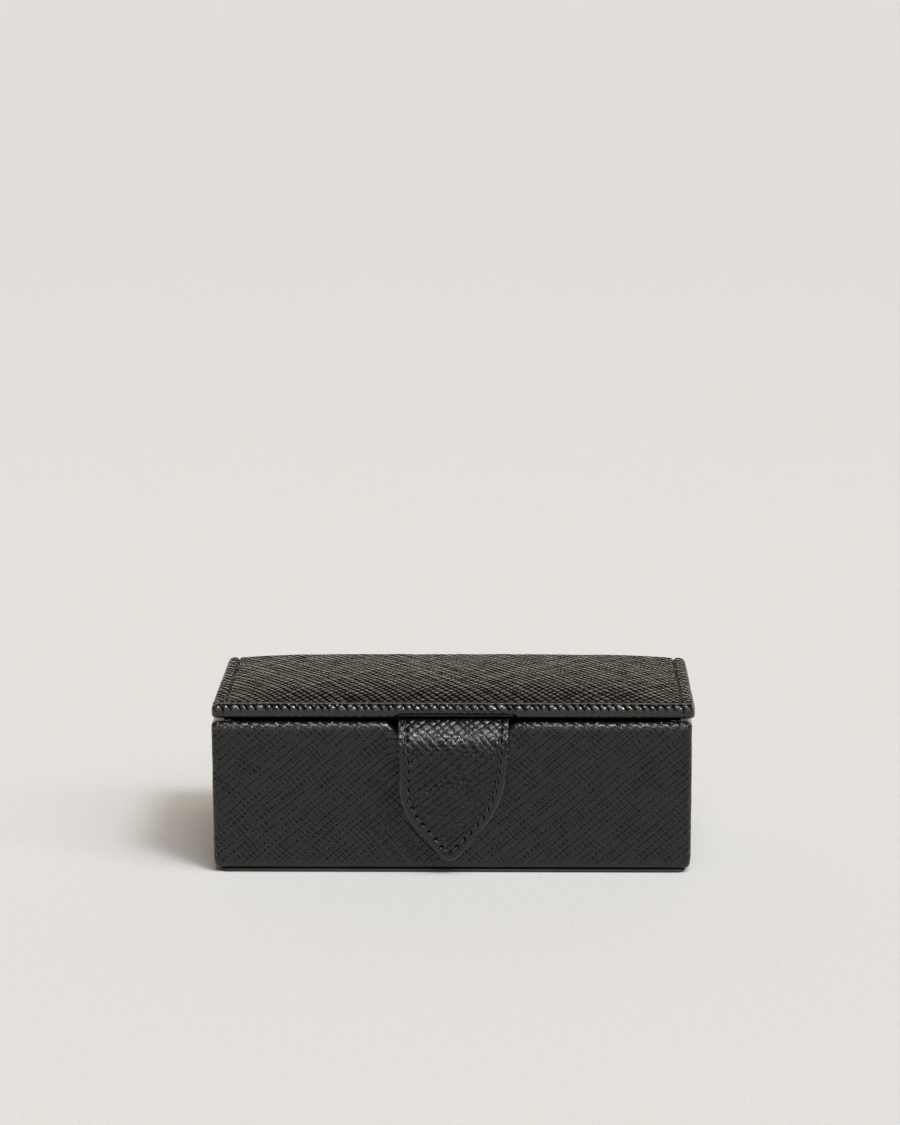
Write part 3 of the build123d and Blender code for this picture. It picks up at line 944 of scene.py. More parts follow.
def case_cover(case):
    """The skin over the case: rolled over the rim with its scoop, down the walls and under the base."""
    low, high = span("case_leather")
    board_back = span("front_board", "back_board")[1][1]
    board_to_lining = abs(span("front_board")[0][1] - span("front_lining")[0][1])
    wall = high[1] - board_back + board_to_lining
    rim, foot = high[2], low[2]
    section = case_section(case, rim, foot, wall)
    half_x, half_y = high[0] - case.corner, high[1] - case.corner
    near_scoop = (case.scoop_half + case.scoop_shoulder / 2, 2.6, 0.25)
    xs = places(half_x, case.pitch, near_scoop)
    xs += case.end_setback * (half_x - xs) / (2 * half_x)
    plan = lay_out(xs, places(half_y, case.pitch), 6)
    rings = np.array([ring(plan, case.corner - inward, height) for inward, height in section])
    widest = rings[np.argmin(np.abs(section[:, 0]) + np.abs(section[:, 1] - rim + DENSE))]
    across = run_along(np.concatenate([widest, widest[:1]]))
    along = run_along(np.concatenate([section, section[:1]]))
    along = along.max() - along

    # The leather is stretched unevenly, leans outwards at the ends and is drawn in at their foot
    wave = case.waviness * ripple(across[None, :-1], along[:-1, None])
    on_wall = (np.abs(section[:, 0]) < case.rim_round) & (section[:, 1] > foot + case.pared)
    rings[..., :2] += wave[..., None] * plan.outward * on_wall[:, None, None]
    endwards = plan.outward[:, 0]
    rising = (rings[..., 2] - foot) / (rim - foot) * np.where(endwards < 0, 1, RIGHT_FULLNESS)
    rings[..., 0] += case.fullness * rising * endwards * on_wall[:, None]
    tucked = (1 - smoothstep((rings[..., 2] - foot) / TUCK_HEIGHT)) ** 2
    rings[..., 0] -= case.end_round * tucked * endwards

    # The scoop lowers the front rim, and eases out down the wall
    up_shoulder = (np.abs(rings[..., 0]) - case.scoop_half) / case.scoop_shoulder
    slope = 0.3 * smoothstep(up_shoulder) + 0.7 * np.clip(up_shoulder, 0, 1)
    drop = case.scoop_depth * (1 - slope) * (rings[..., 1] < low[1] + 2 * wall)
    rings[..., 2] -= drop * smoothstep((rings[..., 2] - rim + case.scoop_fade + 2) / case.scoop_fade)
    return loft(rings, across, along)


def case_grain(case, points):
    """Shares of the grain over the case.

    The cuts show on the rim and in one patch low at the left, beside the tab, whose darker cuts also stand
    in for the tab's shadow as painted shade. The grain is stretched flat on the scoop's shoulders, and
    pressed at the foot.
    """
    low, high = span("case_leather")
    x, z = points[:, 0], points[:, 2]
    rim = smoothstep((z - high[2] + 2.6) / 1.4)
    # Stronger cuts low at the left of the tab: real grain, whose darkened cuts also stand in for the tab's
    # shadow as painted shade
    patch = smoothstep(1.6 - np.hypot((x + 11) / 8, (z - 10) / 9))
    from_shoulder = np.abs(np.abs(x) - (case.scoop_half + 0.6 * case.scoop_shoulder))
    stretched = smoothstep(1.6 - from_shoulder / 1.4) * rim
    foot = smoothstep(2.2 - (z - low[2]))
    return {
        GRAIN_SHARE: (1 + 0.6 * rim) * (1 - 0.8 * stretched) * (1 - 0.6 * foot),
        POLISH: 0.8 * rim,
        CUT_SHARE: 0.15 + 0.75 * np.maximum(rim, patch),
        LONG_SHARE: 1 - 0.75 * rim,
    }


def sole_card():
    """The card under the case: a flat foot, and above it a bead that stands out all round."""
    case = sizes("box_case")
    low, high = span("sole")
    corner = case.sole_corner + case.sole_out
    half_x = high[0] - case.sole_end - corner
    half_y = high[1] + case.sole_out - corner
    plan = lay_out(places(half_x, 4.0) + case.sole_shift, places(half_y, 4.0), 8)
    bead = case.sole_bead
    middle = low[2] + case.sole_lip + bead
    edge = [(-1.3, high[2]), (-1.1, high[2]), (-1.0, high[2] - 0.1), (-0.9, middle + bead + 0.06)]
    for turn in np.radians(range(90, -91, -15)):
        edge.append((bead * (math.cos(turn) - 1), middle + bead * math.sin(turn)))
    edge += [(-bead - 0.12, low[2] + 0.12), (-bead - 0.2, low[2])]
    rings = [ring(plan, corner + distance, height) for distance, height in edge]
    return plan_form(plan, sheet(plan, high[2]), sheet(plan, low[2]), rings)


# Lid


FACING = 0.999  # the least part of an outward direction that points straight to one side
PLEAT_PLACE, PLEAT_WIDTH = 0.35, 0.25  # the corner pleat's distance outside the crease, and its half width
LEAST_UPRIGHT = 0.02  # what stays upright between the front's two rolls
NEAR_TAB = 14.7  # distance from the lid's middle to where the tab's sides lift its edge
BACK_SWELL = 0.03  # unevenness of the leather down the back


def lid_frame():
    """The lid's sizes, with the places that its cover, foam and hinge leather share."""
    lid = sizes("box_lid")
    low, high = span("lid_leather")
    lid.bottom = low[2]
    lid.top = low[2] + lid.thickness
    lid.front, lid.back = low[1], high[1]
    lid.half = high[0] - lid.tuck
    lid.crease_x = lid.half - lid.border
    lid.foam_start = lid.front + lid.foam_front
    return lid


def crease_place(lid, x, y, along):
    """Distance inwards from the nearer crease, which wanders a little."""
    wander = 0.12 * np.sin(0.55 * y + np.sign(x)) + 0.05 * np.sin(1.9 * y)
    return lid.crease_x - np.abs(x) + lid.crease_skew * (along - 0.5) * (x < 0) + wander


def lid_height(lid, x, y):
    """Height of the leather over the lid, with its crown and its two creases."""
    behind = y - lid.foam_start
    behind = (np.sqrt(behind**2 + 0.5) + behind) / 2
    along = (y - lid.front) / (lid.back - lid.front)
    inside = crease_place(lid, x, y, along)
    full = lid.foam_edge + lid.foam_crown * (1 - np.exp(-np.maximum(inside, 0) / lid.build_up))
    reach = lid.back - lid.foam_start
    crown = full * (1 - np.exp(-behind / lid.build_up) - lid.fall * (behind / reach) ** 2)
    crown = np.maximum(crown, 0) * smoothstep(inside / 0.9 + 0.2)
    from_roll = y - lid.front - lid.corner
    ease = lid.lean * along + lid.front_ease * (1 - smoothstep(from_roll))
    valley = lid.crease_depth * np.exp(-((inside / lid.crease_width) ** 2)) * smoothstep(from_roll / 1.6)
    strip = lid.strip_lift * (0.85 + 0.15 * np.sign(x))
    strip = strip * smoothstep(1.3 * along - 0.3) * smoothstep(0.5 - inside)
    return lid.top + crown + strip - valley - ease + lid.waviness * ripple(x, y, 2.0)


def lid_grid(lid):
    """Places of the cover's mesh lines, closer at the creases, over the tab's sides and by the rolls."""
    near_crease, near_tab = (lid.crease_x, 1.4, 0.12), (NEAR_TAB, 1.5, 0.4)
    half = lid.half - lid.corner
    xs = places(half, lid.pitch, near_crease, near_tab)
    xs -= lid.left_reach * (half - xs) / (2 * half)
    depth = (lid.back - lid.front) / 2 - lid.corner
    near_roll = (depth - 0.6, 0.6, 0.2)
    return xs, places(depth, lid.pitch, near_roll) + (lid.back + lid.front) / 2


def lid_cover(lid):
    """The lid's leather: turned in below, rolled round the edge, over the crown, and down the back."""
    tab = sizes("box_tab")
    plan = lay_out(*lid_grid(lid), 8)
    top = sheet(plan, lid_height(lid, plan.x, plan.y))
    x, out_x, out_y = plan.anchor[:, 0], np.abs(plan.outward[:, 0]), plan.outward[:, 1]
    on_back = (out_y > FACING) & (np.abs(x) <= lid.crease_x + 0.01)
    on_front = out_y < -FACING
    past_crease = np.abs(x) > lid.crease_x + 0.5
    across = np.where(out_y > 0, lid.back_round, lid.edge_round)
    endwards = np.where(out_y < -0.01, out_x, np.maximum(out_x, past_crease))
    upper = across + (lid.side_round - across) * endwards
    lift = lid.tab_lift * (1 - smoothstep((np.abs(x - tab.offset) - tab.half_width) / 2)) * on_front
    lower = lid.under_round + (lid.end_under - lid.under_round) * out_x
    lower = np.where(on_back, 0.0, lower)
    room_below = lid.thickness - lid.edge_round - lift - LEAST_UPRIGHT
    lower = np.where(on_front, np.minimum(lower, room_below), lower)
    crest = lid_height(lid, *plan.anchor.T)
    floor = lid.bottom + lift
    from_pleat = (np.abs(x) - lid.crease_x - PLEAT_PLACE) / PLEAT_WIDTH
    pleat = lid.notch * np.exp(-(from_pleat**2)) * on_front

    # Each level of the edge has its way out and its height
    edge = lid.corner
    levels = [(edge - upper, crest)]
    for out, down in rolled_edge(12)[1:]:
        drawn_in = pleat * smoothstep(2 * down - 0.6)
        levels.append((edge - upper + upper * out - drawn_in, crest - upper * down))
    for part in (0.33, 0.67):
        levels.append((edge - pleat, (crest - upper) * (1 - part) + (floor + lower) * part))
    for turn in np.radians(np.linspace(90, 180, 9)):
        out = edge - lower + lower * math.sin(turn) - pleat * math.sin(turn)
        levels.append((out, floor + lower * (1 + math.cos(turn))))
    hole = len(levels)
    inside = edge - lid.skin
    levels += [
        (np.minimum(inside, edge - lower), floor),
        (edge - 4.0, lid.bottom + 0.4 * lift),
        (edge - 6.0, lid.bottom),
        (edge - (lid.skin + lid.turn_in), lid.bottom),
        (inside - lid.turn_in, lid.bottom + lid.pared),
        (inside - 0.05, lid.bottom + lid.pared),
        (inside - 0.05, lid.top - lid.skin),
    ]
    rings = [ring(plan, distance, height) for distance, height in levels]
    points, faces, loops = closed_skin(top, top - np.array([0, 0, lid.skin]), plan.index, rings)
    plane = plane_map(plan, points, loops)
    return add_back_panel(lid, points, faces, plane, loops[hole], loops[hole + 1], on_back)


def lid_grain(lid, points):
    """Shares of the grain over the lid.

    It is pressed flat round the lower edge and in a strip behind the front roll, and is painted dark in the
    creases and below, as painted shade. Inside and down the back it is plain.
    """
    x, y, z = points[:, 0] - lid.offset, points[:, 1], points[:, 2]
    around = (z > lid.bottom - 0.01) & (y < lid.back - 0.5)
    from_front, from_top = y - lid.front, z - lid.top
    share = 0.3 + 0.7 * smoothstep((from_top + 2.1) / 0.9)
    share -= 0.6 * smoothstep((from_front - 0.8) / 0.3) * smoothstep((2.5 - from_front) / 0.6)
    share *= 0.5 + 0.5 * smoothstep((lid.back - 0.3 - y) / 1.8)
    inside = crease_place(lid, x, y, from_front / (lid.back - lid.front))
    # Painted shade: darker in the creases and under the lid's rolled edge
    crease = 0.75 * np.exp(-((inside / 0.28) ** 2)) * (from_top > -0.8) * smoothstep(from_front / 2 - 0.5)
    painted_shade_below = 0.35 * (1 - smoothstep((from_top + 1.9) / 0.5)) * around
    polish = 0.9 * smoothstep((2.2 - from_front) / 0.8) * smoothstep((from_top + 1.8) / 0.6)
    return {
        GRAIN_SHARE: np.where(around, share, 0.5),
        CUT_SHARE: np.where(around, 0.4 + 0.6 * smoothstep((from_top + 0.6) / 0.3), 1.0),
        LONG_SHARE: np.ones(len(points)),
        PAINTED_SHADE: np.maximum(crease, painted_shade_below),
        POLISH: np.where(around, polish, 0.0),
    }


def back_levels(lid):
    """Levels down the back, each with its height, the depth of its dent and the leather's thickness."""
    foot = span("back_leather")[0][2]
    hinge = (lid.bottom + span("case_leather")[1][2]) / 2
    rim = 2 * hinge - lid.bottom
    levels = []
    for rise, dent in ((0.25, 0.06), (0.12, 0.6 * lid.groove), (0.0, lid.groove)):
        levels.append((hinge + rise, dent, lid.skin))
    levels += [(2 * hinge - z, dent, skin) for z, dent, skin in levels[1::-1]]
    levels += [(rim, 0.0, lid.skin), (rim - 0.3, 0.0, lid.panel)]
    levels += [(z, 0.0, lid.panel) for z in np.linspace(rim - 2, foot + 0.35, 24)]
    return [*levels, (foot + 0.12, 0.08, lid.panel), (foot, 0.3, lid.panel - 0.15)], rim


def add_back_panel(lid, points, faces, plane, outer, inner, on_back):
    """Carries the cover on from the lid's back edge, over the hinge groove and down the case's back."""
    chosen = np.flatnonzero(on_back)
    outer, inner = outer[chosen], inner[chosen]
    shut = set(outer.tolist()) | set(inner.tolist())
    faces = [face for face in faces if not set(face) <= shut]
    levels, rim = back_levels(lid)
    x = points[outer][:, 0]
    reach = plane[outer][:, 1]
    made_points, made_plane = [points], [plane]
    count = len(points)
    before_z = lid.bottom
    for z, dent, depth in levels:
        reach = reach + (before_z - z)
        before_z = z
        wave = BACK_SWELL * ripple(x, np.full_like(x, z), 1.0)
        for y in (lid.back - dent + wave * (z < rim), np.full_like(x, lid.back - depth)):
            made_points.append(np.column_stack([x, y, np.full_like(x, z)]))
            made_plane.append(np.column_stack([x, reach]))
        next_outer = count + np.arange(len(x))
        next_inner = next_outer + len(x)
        count += 2 * len(x)
        faces += ring_faces(outer, next_outer, wrap=False) + ring_faces(next_inner, inner, wrap=False)
        for end in (0, -1):
            side = [int(outer[end]), int(inner[end]), int(next_inner[end]), int(next_outer[end])]
            faces.append(side if end == 0 else side[::-1])
        outer, inner = next_outer, next_inner
    faces += ring_faces(outer, inner, wrap=False)
    points = np.concatenate(made_points)
    points[:, 0] += lid.offset
    return points, faces, vertex_uv(faces, np.concatenate(made_plane))


# Pads


def pad_slab(half_x, half_y, crest, floor, corner, edge_round, pitch, middle_y=0.0):
    """A closed pad: a crest given by a function of x and y over a flat floor, with rounded edges."""
    plan = lay_out(places(half_x - corner, pitch), places(half_y - corner, pitch) + middle_y, 6)
    edge = crest(*plan.anchor.T)
    turn = np.sign(edge.mean() - floor)
    rings = []
    for slope in np.radians(np.linspace(0, 90, 7)):
        out = corner - edge_round + edge_round * math.sin(slope)
        rings.append(ring(plan, out, edge - turn * edge_round * (1 - math.cos(slope))))
    rings.append(ring(plan, corner, floor))
    return plan_form(plan, sheet(plan, crest(plan.x, plan.y)), sheet(plan, floor), rings)


def floor_pad():
    """The pad under the cells, which swells in each of them and is pressed down under the dividers."""
    low, high = span("floor_pad")
    flat, crest = span("long_divider")[0][2], high[2]
    crossing = [span(name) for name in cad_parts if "cross" in name]
    middles = sorted({round(sum(ends[i][0] for i in (0, 1)) / 2, 3) for ends in crossing})
    walls = np.array([low[0], *middles, high[0]])
    margin, ease = 1.4, 2.2

    def height(x, y):
        cell = np.clip(np.searchsorted(walls, x) - 1, 0, len(walls) - 2)
        from_x = np.minimum(x - walls[cell], walls[cell + 1] - x) - margin
        from_y = np.minimum(np.abs(y), high[1] - np.abs(y)) - margin
        swell = (1 - np.exp(-np.maximum(from_x, 0) / ease)) * (1 - np.exp(-np.maximum(from_y, 0) / ease))
        return flat + (crest - flat) * swell

    gap = 0.3
    half_x, half_y = high[0] - gap, high[1] - gap
    return pad_slab(half_x, half_y, height, low[2], corner=0.6, edge_round=0.5, pitch=0.7)


def lid_foam(lid):
    """The foam, which fills the crown under the lid's leather."""
    low, high = span("lid_foam")
    middle, half = (low + high) / 2, (high - low) / 2

    def height(x, y):
        return np.maximum(lid_height(lid, x, y) - lid.skin - 0.08, low[2] + 0.15)

    half_x, half_y = half[0] - 1, half[1] - 0.8
    return pad_slab(
        half_x, half_y, height, low[2], corner=1.5, edge_round=0.1, pitch=1.0, middle_y=middle[1]
    )


def lid_lining():
    """The pad inside the lid, which swells downwards from its edge."""
    low, high = span("lid_lining")
    edge = 1.6
    rise = high[2] - low[2] - edge

    def height(x, y):
        from_edge = np.minimum(high[0] - np.abs(x), high[1] - np.abs(y))
        return high[2] - edge - rise * (1 - np.exp(-np.maximum(from_edge - 1.2, 0) / 5))

    return pad_slab(high[0], high[1], height, high[2] - 0.01, corner=2.0, edge_round=1.1, pitch=0.8)


# Tab


SIDE_LEAN, FLANK_LEAN = 0.05, 0.84  # how far the tab's side and its tip's flank run out for each step up
FACE_SWELL = 0.05  # unevenness of the tab's face
CHANNEL_DEPTH, CHANNEL_WIDTH = 0.16, 0.45  # the channel that the stitches press
PARED_WAY = 3.5  # way over which the root is pared to its end
PARED_FACE, PARED_LINING = 0.35, 0.02  # what the paring takes off the face, and leaves of the lining
POCKET_SKIN = 0.14  # the lining's leather behind the magnet
FOLD_GRAIN = 9.5  # how far past that end the leather has the fold's coarser grain
FLAT_SHARE = 0.12  # what is left of the grain outside the stitches
PAINTED = 0.42  # width of the painted edge


def corner_arc(before, corner, after, radius, steps):
    """Points that round a corner, from the side before it to the side after it."""
    before, corner, after = (np.array(p, float) for p in (before, corner, after))
    a = (before - corner) / np.linalg.norm(before - corner)
    b = (after - corner) / np.linalg.norm(after - corner)
    half_angle = math.acos(np.clip(a @ b, -1, 1)) / 2
    centre = corner + (a + b) / np.linalg.norm(a + b) * radius / math.sin(half_angle)
    first = corner + a * radius / math.tan(half_angle) - centre
    last = corner + b * radius / math.tan(half_angle) - centre
    sweep = math.pi - 2 * half_angle
    t = np.linspace(0, 1, steps + 1)[:, None]
    return centre + (first * np.sin((1 - t) * sweep) + last * np.sin(t * sweep)) / math.sin(sweep)


def tab_side(tab, inset, tip_radius, total):
    """The right half of the tab's outline as (x, way down from the root's end), drawn in by an inset."""
    side_angle, flank_angle = math.atan(SIDE_LEAN), math.atan(FLANK_LEAN)
    sharp_tip = -tab.tip_radius * (1 / math.sin(flank_angle) - 1)
    hanging = span("tab_face")[1][2] - tab.tip_height
    base = tab.half_width - SIDE_LEAN * (hanging - sharp_tip)
    shoulder_z = sharp_tip + base / (FLANK_LEAN - SIDE_LEAN)
    shoulder_x = FLANK_LEAN * (shoulder_z - sharp_tip)
    turn = (side_angle + flank_angle) / 2
    cross = inset / math.cos((flank_angle - side_angle) / 2)
    shoulder = (shoulder_x - cross * math.cos(turn), shoulder_z + cross * math.sin(turn))
    tip = (0, sharp_tip + inset / math.sin(flank_angle))
    top = (tab.half_width - inset, hanging)
    steps = 24
    rounded_shoulder = corner_arc(top, shoulder, tip, tab.shoulder_radius - inset, steps)
    rounded_tip = corner_arc(shoulder, tip, (-shoulder[0], shoulder[1]), tip_radius, steps)
    root = (top[0], total)
    side = np.array([root, top, *rounded_shoulder, *rounded_tip[: steps // 2 + 1]])
    side[-1, 0] = 0
    return np.column_stack([side[:, 0], total - side[:, 1]])


def resampled(chain, pitch):
    """The same line with points a pitch apart, and closer where it curves round the tip."""
    run = run_along(chain)
    coarse = np.arange(0, run[-1] - 4, pitch)
    fine = np.linspace(coarse[-1] + pitch, run[-1], 24)
    return at_marks(np.concatenate([coarse, fine]), run, chain)


def tab_course(tab):
    """The seam's course in the YZ plane, from the root's end under the lid to the tip.

    It bends sharply under the lid's edge, bows down to the front, and is drawn in again by the magnet. For
    each way along it, it gives the place and the angle below the horizontal.
    """
    seam_z = span("tab_fold")[1][2] - tab.face
    root_end, bend_start = -22.4, -26.6  # places in Y
    straight = root_end - bend_start
    # Each turn has its radius in millimetres, and the angle in degrees at which it ends
    turns = ((tab.bend, 37), (11, 60), (tab.bow, 84), (23, 94), (115, 95.5), (900, 95.0), (100, 91.0))
    ways, angles = [0.0, straight], [0.0, 0.0]
    for radius, degrees in turns:
        ways.append(ways[-1] + max(radius * math.radians(abs(degrees - angles[-1])), 0.01))
        angles.append(degrees)
    step, smoothing = 0.02, 15
    way = np.arange(0, 70, step)
    window = np.ones(2 * smoothing + 1) / (2 * smoothing + 1)
    padded = np.pad(np.interp(way, ways, angles), smoothing, mode="edge")
    slope = np.radians(np.convolve(padded, window, mode="valid"))
    y = root_end - np.cumsum(np.cos(slope)) * step
    z = seam_z - np.cumsum(np.sin(slope)) * step
    tip = way[np.argmin(np.abs(z - tab.tip_height))]
    return SimpleNamespace(way=way, y=y, z=z, angle=slope, straight=straight, tip=tip)


def course_at(course, way):
    """Place in Y and Z, and the angle below the horizontal, at a way along the course."""
    return [np.interp(way, course.way, values) for values in (course.y, course.z, course.angle)]


def bent(tab, course, flat):
    """Points given as (x, way down, height over the seam), carried round the fold and leant to the left."""
    x, way, rise = flat[..., 0], flat[..., 1], flat[..., 2]
    y, z, slope = course_at(course, way)
    hanging = course.tip - course.straight
    leant = tab.drift * smoothstep(((way - course.straight) / hanging - 0.3) / 0.4)
    return np.stack([x + tab.offset - leant, y - rise * np.sin(slope), z + rise * np.cos(slope)], -1)


def stitch_line(tab, course):
    """The whole stitch line as (x, way down), up one side and down the other, and its holes."""
    start = course.straight - 1.5
    side = tab_side(tab, tab.stitch_inset, tab.stitch_tip, course.tip)
    first = np.array([[tab.half_width - tab.stitch_inset, start]])
    right = np.concatenate([first, side[side[:, 1] > start]])
    left = right[::-1][1:] * np.array([-1, 1])
    whole = np.concatenate([right, left])
    run = run_along(whole)
    count = round(run[-1] / tab.stitch_pitch)
    holes = at_marks(np.linspace(0, run[-1], count + 1), run, whole)
    path = at_marks(np.linspace(0, run[-1], 400), run, whole)
    return path, holes


def magnet_way(tab, course):
    """How far down the tab the middle of its magnet lies."""
    return np.interp(-tab.magnet_height, -course.z, course.way)


def magnet_bulge(tab, course, x, way):
    """How far the magnet lifts the face over the seam."""
    away = np.hypot(x, way - magnet_way(tab, course))
    skirt = tab.magnet_skirt - tab.magnet_radius
    return tab.magnet_rise * (1 - smoothstep((away - tab.magnet_radius) / skirt))


def magnet_pocket(tab, course, x, way, thickness):
    """How much the lining swells backwards, so that it covers the magnet."""
    low, high = span("tab_magnet")
    away = np.hypot(x + tab.offset - tab.drift / 2, way - magnet_way(tab, course))
    short = high[1] + POCKET_SKIN - (course_at(course, way)[0] + thickness)
    return np.maximum(short, 0) * (1 - smoothstep((away - (high[0] - low[0]) / 2 - 1.0) / 2.2))


def face_rise(tab, course, x, way, path, holes):
    """Height of the tab's face over the seam, with the magnet's bulge and the stitches' holes."""
    rise = np.full_like(x, tab.face) + magnet_bulge(tab, course, x, way)
    flat = np.stack([x.ravel(), way.ravel()], -1)
    channel = CHANNEL_DEPTH * np.exp(-((nearest(flat, path) / CHANNEL_WIDTH) ** 2))
    dent = tab.hole_depth * np.exp(-((nearest(flat, holes) / tab.hole) ** 2))
    return rise + FACE_SWELL * ripple(x, way, 3.0) - (channel + dent).reshape(x.shape)


def tab_grid(tab, course, shrink):
    """The tab's grid in the flat, as x and way down, and the outward direction at each row's right end."""
    chain = resampled(tab_side(tab, shrink, tab.tip_radius - shrink, course.tip - shrink), tab.pitch)
    ahead = np.gradient(chain, axis=0)
    ahead /= np.linalg.norm(ahead, axis=1)[:, None]
    outward = np.column_stack([ahead[:, 1], -ahead[:, 0]])
    outward[-1] = (0, 1)
    drawn = chain - outward * tab.edge_round
    drawn[-1, 0] = 0
    drawn[:, 0] = np.maximum(drawn[:, 0], 0)
    columns = round(2 * tab.half_width / tab.pitch) + 1
    x = drawn[:, :1] * np.linspace(-1, 1, columns)[None, :]
    return x, np.repeat(drawn[:, 1:], columns, axis=1), outward


def tab_border(rows, columns):
    """The border of the tab's grid: down its left side from the root, and back up along the right."""
    left = [(0, j) for j in range(rows)]
    right = [(columns - 1, j) for j in range(rows - 1, -1, -1)]
    root = [(i, 0) for i in range(columns - 2, 0, -1)]
    return np.array(left + right + root)


def tab_skin(tab, course, side, thickness, path, holes, shrink=0.0):
    """A closed layer of the tab: side 1 is the grained face, side -1 the lining behind it.

    Gives its vertices in place, its faces, its corner map, and its vertices in the flat.
    """
    x, way, outward = tab_grid(tab, course, shrink)
    rows, columns = x.shape
    taper = smoothstep(way / PARED_WAY)
    if side > 0:
        top_rise = face_rise(tab, course, x, way, path, holes)
    else:
        rise = -thickness - magnet_pocket(tab, course, x, way, thickness)
        top_rise = rise * taper - PARED_LINING * (1 - taper)
    low_rise = (1 - taper) * PARED_FACE * (side > 0)
    border = tab_border(rows, columns)
    station = (border[:, 1], border[:, 0])
    out = np.zeros((len(border), 2))
    out[:rows] = outward * np.array([-1, 1])
    out[rows : 2 * rows] = outward[::-1]
    base = np.stack([x[station], way[station]], -1)
    crest, floor = top_rise[station], low_rise[station]
    rings = []
    for turn in np.radians(np.linspace(0, 90, 6)[1:]):
        place = base + out * tab.edge_round * math.sin(turn)
        drop = np.minimum(tab.edge_round, 0.8 * np.abs(crest - floor)) * (1 - math.cos(turn)) * side
        rings.append(np.column_stack([place, crest - drop]))
    rings.append(np.column_stack([base + out * tab.edge_round, floor]))
    top, bottom = np.stack([x, way, top_rise], -1), np.stack([x, way, low_rise], -1)
    flat, faces, _ = closed_skin(top, bottom, border, rings)
    plane = flat[:, :2] * np.array([1, -1]) + np.array([0, course.straight])
    return bent(tab, course, flat), faces, vertex_uv(faces, plane), flat


def tab_grain(tab, course, flat, holes):
    """Shares of the grain over the tab: pressed flat outside the stitches, and painted dark in their holes,
    as painted shade.
    """
    side = tab_side(tab, 0, tab.tip_radius, course.tip)
    side = at_marks(np.linspace(0, 1, 300), np.linspace(0, 1, len(side)), side)
    x, way = flat[:, 0], flat[:, 1]
    from_edge = nearest(np.column_stack([np.abs(x), way]), side)
    from_hole = nearest(flat[:, :2], holes)
    fold = smoothstep((course.straight + FOLD_GRAIN - way) / 4)
    within = np.maximum(smoothstep((from_edge - tab.stitch_inset + 0.5) / 0.7), fold)
    return {
        GRAIN_SHARE: FLAT_SHARE + (1 - FLAT_SHARE) * within,
        CUT_SHARE: np.ones(len(flat)),
        LONG_SHARE: 1 - 0.6 * fold,
        # Painted shade in the stitch holes
        PAINTED_SHADE: smoothstep(1.5 - from_hole / (1.1 * tab.hole)),
        EDGE: smoothstep((PAINTED - from_edge) / 0.2) * (way > course.straight),
        POLISH: 0.6 * fold,
    }


# Stitches


def stitch_tree():
    """Stitches along a line: one bent thread for each pitch, turned to the line and to the leather."""
    group = bpy.data.node_groups.new("stitches", "GeometryNodeTree")
    given_names = {
        "Geometry": "Geometry",
        "Count": "Int",
        "Stitch Length": "Float",
        "Thread Radius": "Float",
        "Rise": "Float",
        "Slant": "Float",
        "Material": "Material",
    }
    for name, kind in given_names.items():
        group.interface.new_socket(name, in_out="INPUT", socket_type="NodeSocket" + kind)
    group.interface.new_socket("Geometry", in_out="OUTPUT", socket_type="NodeSocketGeometry")
    tree = Tree(group)
    given = group.nodes.new("NodeGroupInput").outputs
    result = group.nodes.new("NodeGroupOutput")

    # One stitch: a thread that bows up from its two holes
    half = tree.times(given["Stitch Length"], 0.5)
    sunk = tree.times(given["Rise"], -1.3)
    start = tree.add("ShaderNodeCombineXYZ", tree.times(half, -1.0), 0.0, sunk)
    middle = tree.add("ShaderNodeCombineXYZ", 0.0, 0.0, tree.times(given["Rise"], 1.6))
    end = tree.add("ShaderNodeCombineXYZ", half, 0.0, sunk)
    bow = tree.add("GeometryNodeCurveQuadraticBezier", 7, start, middle, end)
    radius = given["Thread Radius"]
    circle = tree.add("GeometryNodeCurvePrimitiveCircle", Resolution=8, Radius=radius)
    thread = tree.add("GeometryNodeCurveToMesh", Curve=bow, Profile_Curve=circle, Fill_Caps=True)

    # Turned along the line, then about it until it stands off the leather, and slanted a little
    path = tree.add("GeometryNodeMeshToCurve", given["Geometry"])
    spaced = tree.add("GeometryNodeResampleCurve", Curve=path, Count=given["Count"])
    tangent = tree.add("GeometryNodeInputTangent")
    up = tree.add("GeometryNodeInputNamedAttribute", data_type="FLOAT_VECTOR", Name=LEATHER_UP)
    along = tree.add("FunctionNodeAlignRotationToVector", axis="X", Vector=tangent)
    upright = tree.add(
        "FunctionNodeAlignRotationToVector", axis="Z", pivot_axis="X", Rotation=along, Vector=up
    )
    slant = tree.add("FunctionNodeAxisAngleToRotation", Axis=(0, 0, 1), Angle=given["Slant"])
    turned = tree.add(
        "FunctionNodeRotateRotation", rotation_space="LOCAL", Rotation=upright, Rotate_By=slant
    )
    placed = tree.add("GeometryNodeInstanceOnPoints", Points=spaced, Instance=thread, Rotation=turned)
    real = tree.add("GeometryNodeRealizeInstances", placed)
    dressed = tree.add("GeometryNodeSetMaterial", Geometry=real, Material=given["Material"])
    tree.plug(result.inputs[0], dressed)
    return group


def run_tree(name, group, carrier, inputs, material):
    """The plain mesh object that a tree makes from a carrier, which is removed."""
    modifier = carrier.modifiers.new(group.name, "NODES")
    modifier.node_group = group
    for item in group.interface.items_tree:
        if item.in_out == "INPUT" and item.name in inputs:
            modifier[item.identifier] = inputs[item.name]
    bpy.context.view_layer.update()
    evaluated = carrier.evaluated_get(bpy.context.evaluated_depsgraph_get())
    mesh = bpy.data.meshes.new_from_object(evaluated)
    mesh.name = name
    carrier.modifiers.remove(modifier)
    bpy.data.objects.remove(carrier)
    mesh.materials.clear()
    mesh.materials.append(material)
    if LEATHER_UP in mesh.attributes:
        mesh.attributes.remove(mesh.attributes[LEATHER_UP])
    mesh.shade_smooth()
    return add_object(name, mesh)


